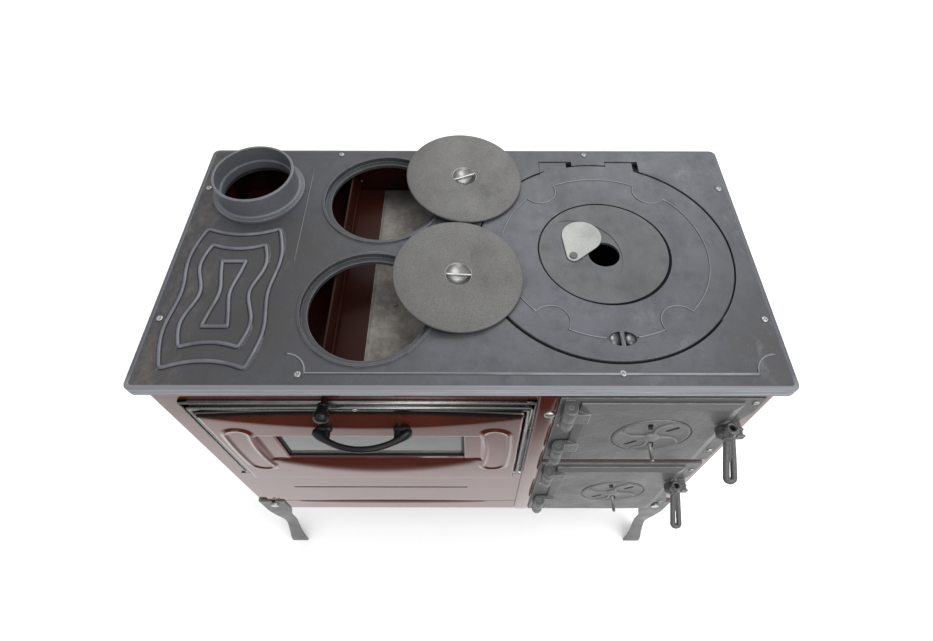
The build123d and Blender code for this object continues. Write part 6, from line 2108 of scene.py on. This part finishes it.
# ------------------------------------------------------------------ draft knob
@dataclass
class DraftKnob:
    """The knob that turns the draft flap: a grooved neck and a domed head."""

    x: float = -192.0
    depth: float = 5.0
    drop: float = 56.0
    neck: tuple[Pair, ...] = ((0, 4.1), (0, 7.0), (0.8, 8.0), (4, 8.0), (5, 7.2), (6, 8.0), (11, 8.0))
    head: tuple[Pair, ...] = (
        (12.2, 8.4), (13, 10.0), (14.5, 11.0), (20, 11.0), (23, 10.4), (25.2, 8.6), (26.4, 5.6), (26.9, 0)
    )

    def build(self, wardrobe: Wardrobe) -> None:
        """Build and dress the knob.

        Args:
            wardrobe: the stove's materials.
        """
        pattern = Pattern("draft_knob_turning")
        pattern.turned(spot(self.x, self.depth, self.drop), FRONT, [*self.neck, *self.head], 56)
        hand_in(pattern.made(), "draft", Slot.BLACK, wardrobe, "draft_knob")


# ------------------------------------------------------------------ stage
@dataclass
class Studio:
    """Floor, soft light and the camera at the photograph's angle."""

    eye: Triple = (0.01222, -0.5295, 1.50095)
    look_down: float = 55.9
    yaw: float = 0.09
    roll: float = -0.18
    focal_px: float = 559.06
    middle_px: Pair = (471.53, 317.96)
    frame_px: Pair = (933.0, 641.0)
    sensor_mm: float = 36.0
    dome: tuple[tuple[float, Colour], ...] = ((0.0, (0.42, 0.42, 0.43)), (0.55, (1.0, 1.0, 1.02)))
    dome_power: float = 1.05
    aim: Triple = (0.0, 0.0, 0.6)
    card_y: float = -1.8
    card_half: Pair = (2.1, 1.45)
    lamps: tuple[tuple[str, Triple, float, float], ...] = (
        ("key_light", (1.25, -0.9, 2.7), 1.8, 38.0),
        ("back_light", (0.5, 1.6, 2.4), 1.6, 26.0),
        ("front_fill", (0.4, -2.4, 1.1), 1.4, 17.0),
    )

    def sheet(self, name: str, half: float, cells: int) -> Piece:
        """Lay a flat square sheet.

        Args:
            name: the sheet's name.
            half: half the length of its sides, in metres.
            cells: how many cells it has along each side.

        Returns:
            The sheet, linked into the scene.
        """
        mesh = bmesh.new()
        bmesh.ops.create_grid(mesh, x_segments=cells, y_segments=cells, size=half)
        data = bpy.data.meshes.new(name)
        mesh.to_mesh(data)
        mesh.free()
        sheet = bpy.data.objects.new(name, data)
        bpy.context.scene.collection.objects.link(sheet)
        return sheet

    def floor(self) -> None:
        """Lay a wide pale floor."""
        floor = self.sheet("studio_floor", 9.0, 8)
        floor.location.z = -0.0004
        recipe = Recipe("pale_floor")
        tone = recipe.clouds(3.0, 3.0, 0.5)
        recipe.feed("Base Color", recipe.ramp(tone, [(0.3, (0.86, 0.86, 0.86)), (0.7, (0.9, 0.9, 0.9))]))
        recipe.set(Roughness=0.9, Emission_Color=(1.0, 1.0, 1.0, 1.0), Emission_Strength=0.1)
        floor.data.materials.append(recipe.material)

    def sky(self) -> None:
        """Wrap the scene in an even pale dome that is darker near the horizon."""
        world = bpy.data.worlds.new("studio_dome")
        bpy.context.scene.world = world
        world.use_nodes = True
        nodes, links = world.node_tree.nodes, world.node_tree.links
        nodes.clear()
        place = nodes.new("ShaderNodeTexCoord")
        split = nodes.new("ShaderNodeSeparateXYZ")
        ramp = nodes.new("ShaderNodeValToRGB")
        for element, (place_up, tone) in zip(ramp.color_ramp.elements, self.dome):
            element.position = place_up
            element.color = (*tone, 1.0)
        shade = nodes.new("ShaderNodeBackground")
        shade.inputs["Strength"].default_value = self.dome_power
        out = nodes.new("ShaderNodeOutputWorld")
        links.new(place.outputs["Generated"], split.inputs[0])
        links.new(split.outputs["Z"], ramp.inputs["Fac"])
        links.new(ramp.outputs["Color"], shade.inputs["Color"])
        links.new(shade.outputs["Background"], out.inputs["Surface"])

    def flag(self) -> None:
        """Lay a dark card on the floor in front, seen only in what the enamel and the trim reflect."""
        card = self.sheet("dark_card", 1.0, 4)
        for vert in card.data.vertices:
            vert.co = (vert.co.x * self.card_half[0], self.card_y + vert.co.y * self.card_half[1], 0.003)
        recipe = Recipe("dark_card")
        nodes, links = recipe.nodes, recipe.links
        clear = nodes.new("ShaderNodeBsdfTransparent")
        mix = nodes.new("ShaderNodeMixShader")
        away = nodes.new("ShaderNodeMapping")
        away.inputs["Location"].default_value = (0.0, -self.card_y, 0.0)
        away.inputs["Scale"].default_value = (0.7, 1.0, 1.0)
        links.new(recipe.place, away.inputs["Vector"])
        reach = nodes.new("ShaderNodeVectorMath")
        reach.operation = "LENGTH"
        links.new(away.outputs["Vector"], reach.inputs[0])
        links.new(recipe.grade(reach.outputs["Value"], (1.44, 1.14), (0.0, 1.0)), mix.inputs["Fac"])
        links.new(clear.outputs[0], mix.inputs[1])
        links.new(recipe.surface.outputs[0], mix.inputs[2])
        links.new(mix.outputs[0], recipe.output.inputs["Surface"])
        grain = recipe.clouds(40.0)
        recipe.feed("Base Color", recipe.ramp(grain, [(0.3, (0.01, 0.01, 0.01)), (0.7, (0.016, 0.015, 0.015))]))
        recipe.set(Roughness=0.95, Specular_IOR_Level=0.1)
        card.data.materials.append(recipe.material)
        card.visible_camera = False
        card.visible_shadow = False
        card.visible_diffuse = False

    def softbox(self, name: str, place: Triple, size: float, power: float) -> None:
        """Hang a square soft light that faces the stove.

        Args:
            name: the lamp's name.
            place: where it hangs, in metres.
            size: the length of its sides, in metres.
            power: its power in watts.
        """
        data = bpy.data.lights.new(name, "AREA")
        data.shape = "SQUARE"
        data.size = size
        data.energy = power
        lamp = bpy.data.objects.new(name, data)
        lamp.location = place
        aim = Vector(self.aim) - Vector(place)
        lamp.rotation_euler = aim.to_track_quat("-Z", "Y").to_euler()
        bpy.context.scene.collection.objects.link(lamp)

    def camera(self) -> None:
        """Stand the camera where the photograph was taken from."""
        data = bpy.data.cameras.new("photo_camera")
        width, height = self.frame_px
        data.sensor_fit = "HORIZONTAL"
        data.sensor_width = self.sensor_mm
        data.lens = self.focal_px / width * self.sensor_mm
        data.shift_x = (width / 2 - self.middle_px[0]) / width
        data.shift_y = (self.middle_px[1] - height / 2) / width
        camera = bpy.data.objects.new("photo_camera", data)
        turn = (
            Matrix.Rotation(radians(-self.yaw), 4, "Z")
            @ Matrix.Rotation(radians(90 - self.look_down), 4, "X")
            @ Matrix.Rotation(radians(-self.roll), 4, "Z")
        )
        camera.matrix_world = Matrix.Translation(self.eye) @ turn
        bpy.context.scene.collection.objects.link(camera)
        bpy.context.scene.camera = camera

    def build(self) -> None:
        """Set up floor, light and camera."""
        self.floor()
        self.flag()
        self.sky()
        for lamp in self.lamps:
            self.softbox(*lamp)
        self.camera()
        bpy.context.scene.view_settings.view_transform = "Standard"
        log.info("studio ready")


LUG_SPANS = (
    ("fire_frame_lugs", "stove", ((50.0, 78.0), (220.0, 248.0))),
    ("fire_door_lugs", "fire_door", ((78.5, 108.0), (190.0, 219.5))),
    ("ash_frame_lugs", "stove", ((309.0, 337.0), (513.0, 541.0))),
    ("ash_door_lugs", "ash_door", ((337.5, 367.0), (483.0, 512.5))),
)
FRAME_SCREW_PLACES = [
    (408.0, 9.0, 57.0),
    (407.0, 9.0, 237.0),
    (146.0, 9.0, 134.0),
    (146.0, 9.0, 270.0),
    (409.0, 9.0, 335.0),
    (407.0, 9.0, 530.0),
    (146.0, 9.0, 410.0),
    (175.0, 9.0, 573.0),
]
PLATE_SCREW_PLACES = [
    (-215.0, 456.5, 0.0),
    (209.0, 456.5, 0.0),
    (-425.0, 372.0, 0.0),
    (425.0, 372.0, 0.0),
    (-425.0, 110.0, 0.0),
    (425.0, 110.0, 0.0),
    (-216.0, 21.5, 0.0),
    (213.0, 23.5, 0.0),
]
SCREW_SETS = (
    ("plate_screw_heads", PLATE_SCREW_PLACES, (0, 0, 1), 4.7, 2.2, Drive.CROSS, ("plate_screws",), Touch.SCREW),
    ("frame_screw_heads", FRAME_SCREW_PLACES, (0, -1, 0), 4.6, 2.6, Drive.CROSS, ("frame_screws",)),
    ("post_bolt_head", [(126.0, 8.2, 94.0)], (0, -1, 0), 8.6, 4.6, Drive.PLAIN, ("front_screws",)),
    ("trim_screw_head", [(-152.0, 6.6, 77.5)], (0, -1, 0), 3.6, 1.8, Drive.PLAIN),
)
LEGS = (("front_left", -1, -1), ("front_right", 1, -1), ("rear_left", -1, 1), ("rear_right", 1, 1))


def main() -> None:
    """Build every piece in order and report each one."""
    logging.basicConfig(level=logging.INFO, format="%(message)s")
    wardrobe = Wardrobe()
    wardrobe.dress_nodes()
    OvenDoor().build(wardrobe)
    for name, drop in (("fire", 116.0), ("ash", 377.0)):
        Latch(name, drop).build(wardrobe)
    for row in LEGS:
        Leg(*row).build(wardrobe)
    PlateOrnament().build(wardrobe)
    LifterSocket().build(wardrobe)
    CasingFolds().build(wardrobe)
    CookLid("front", -6.0, 177.0, 0.0).build(wardrobe)
    CookLid("rear", 1.0, 383.0, 25.0).build(wardrobe)
    OvenTrim().build(wardrobe)
    VentDisc("fire", 157.0).build(wardrobe)
    VentDisc("ash", 437.0).build(wardrobe)
    for row in LUG_SPANS:
        HingeLugs(*row).build(wardrobe)
    for row in SCREW_SETS:
        ScrewSet(*row).build(wardrobe)
    DraftKnob().build(wardrobe)
    Studio().build()


if __name__ == "__main__":
    main()
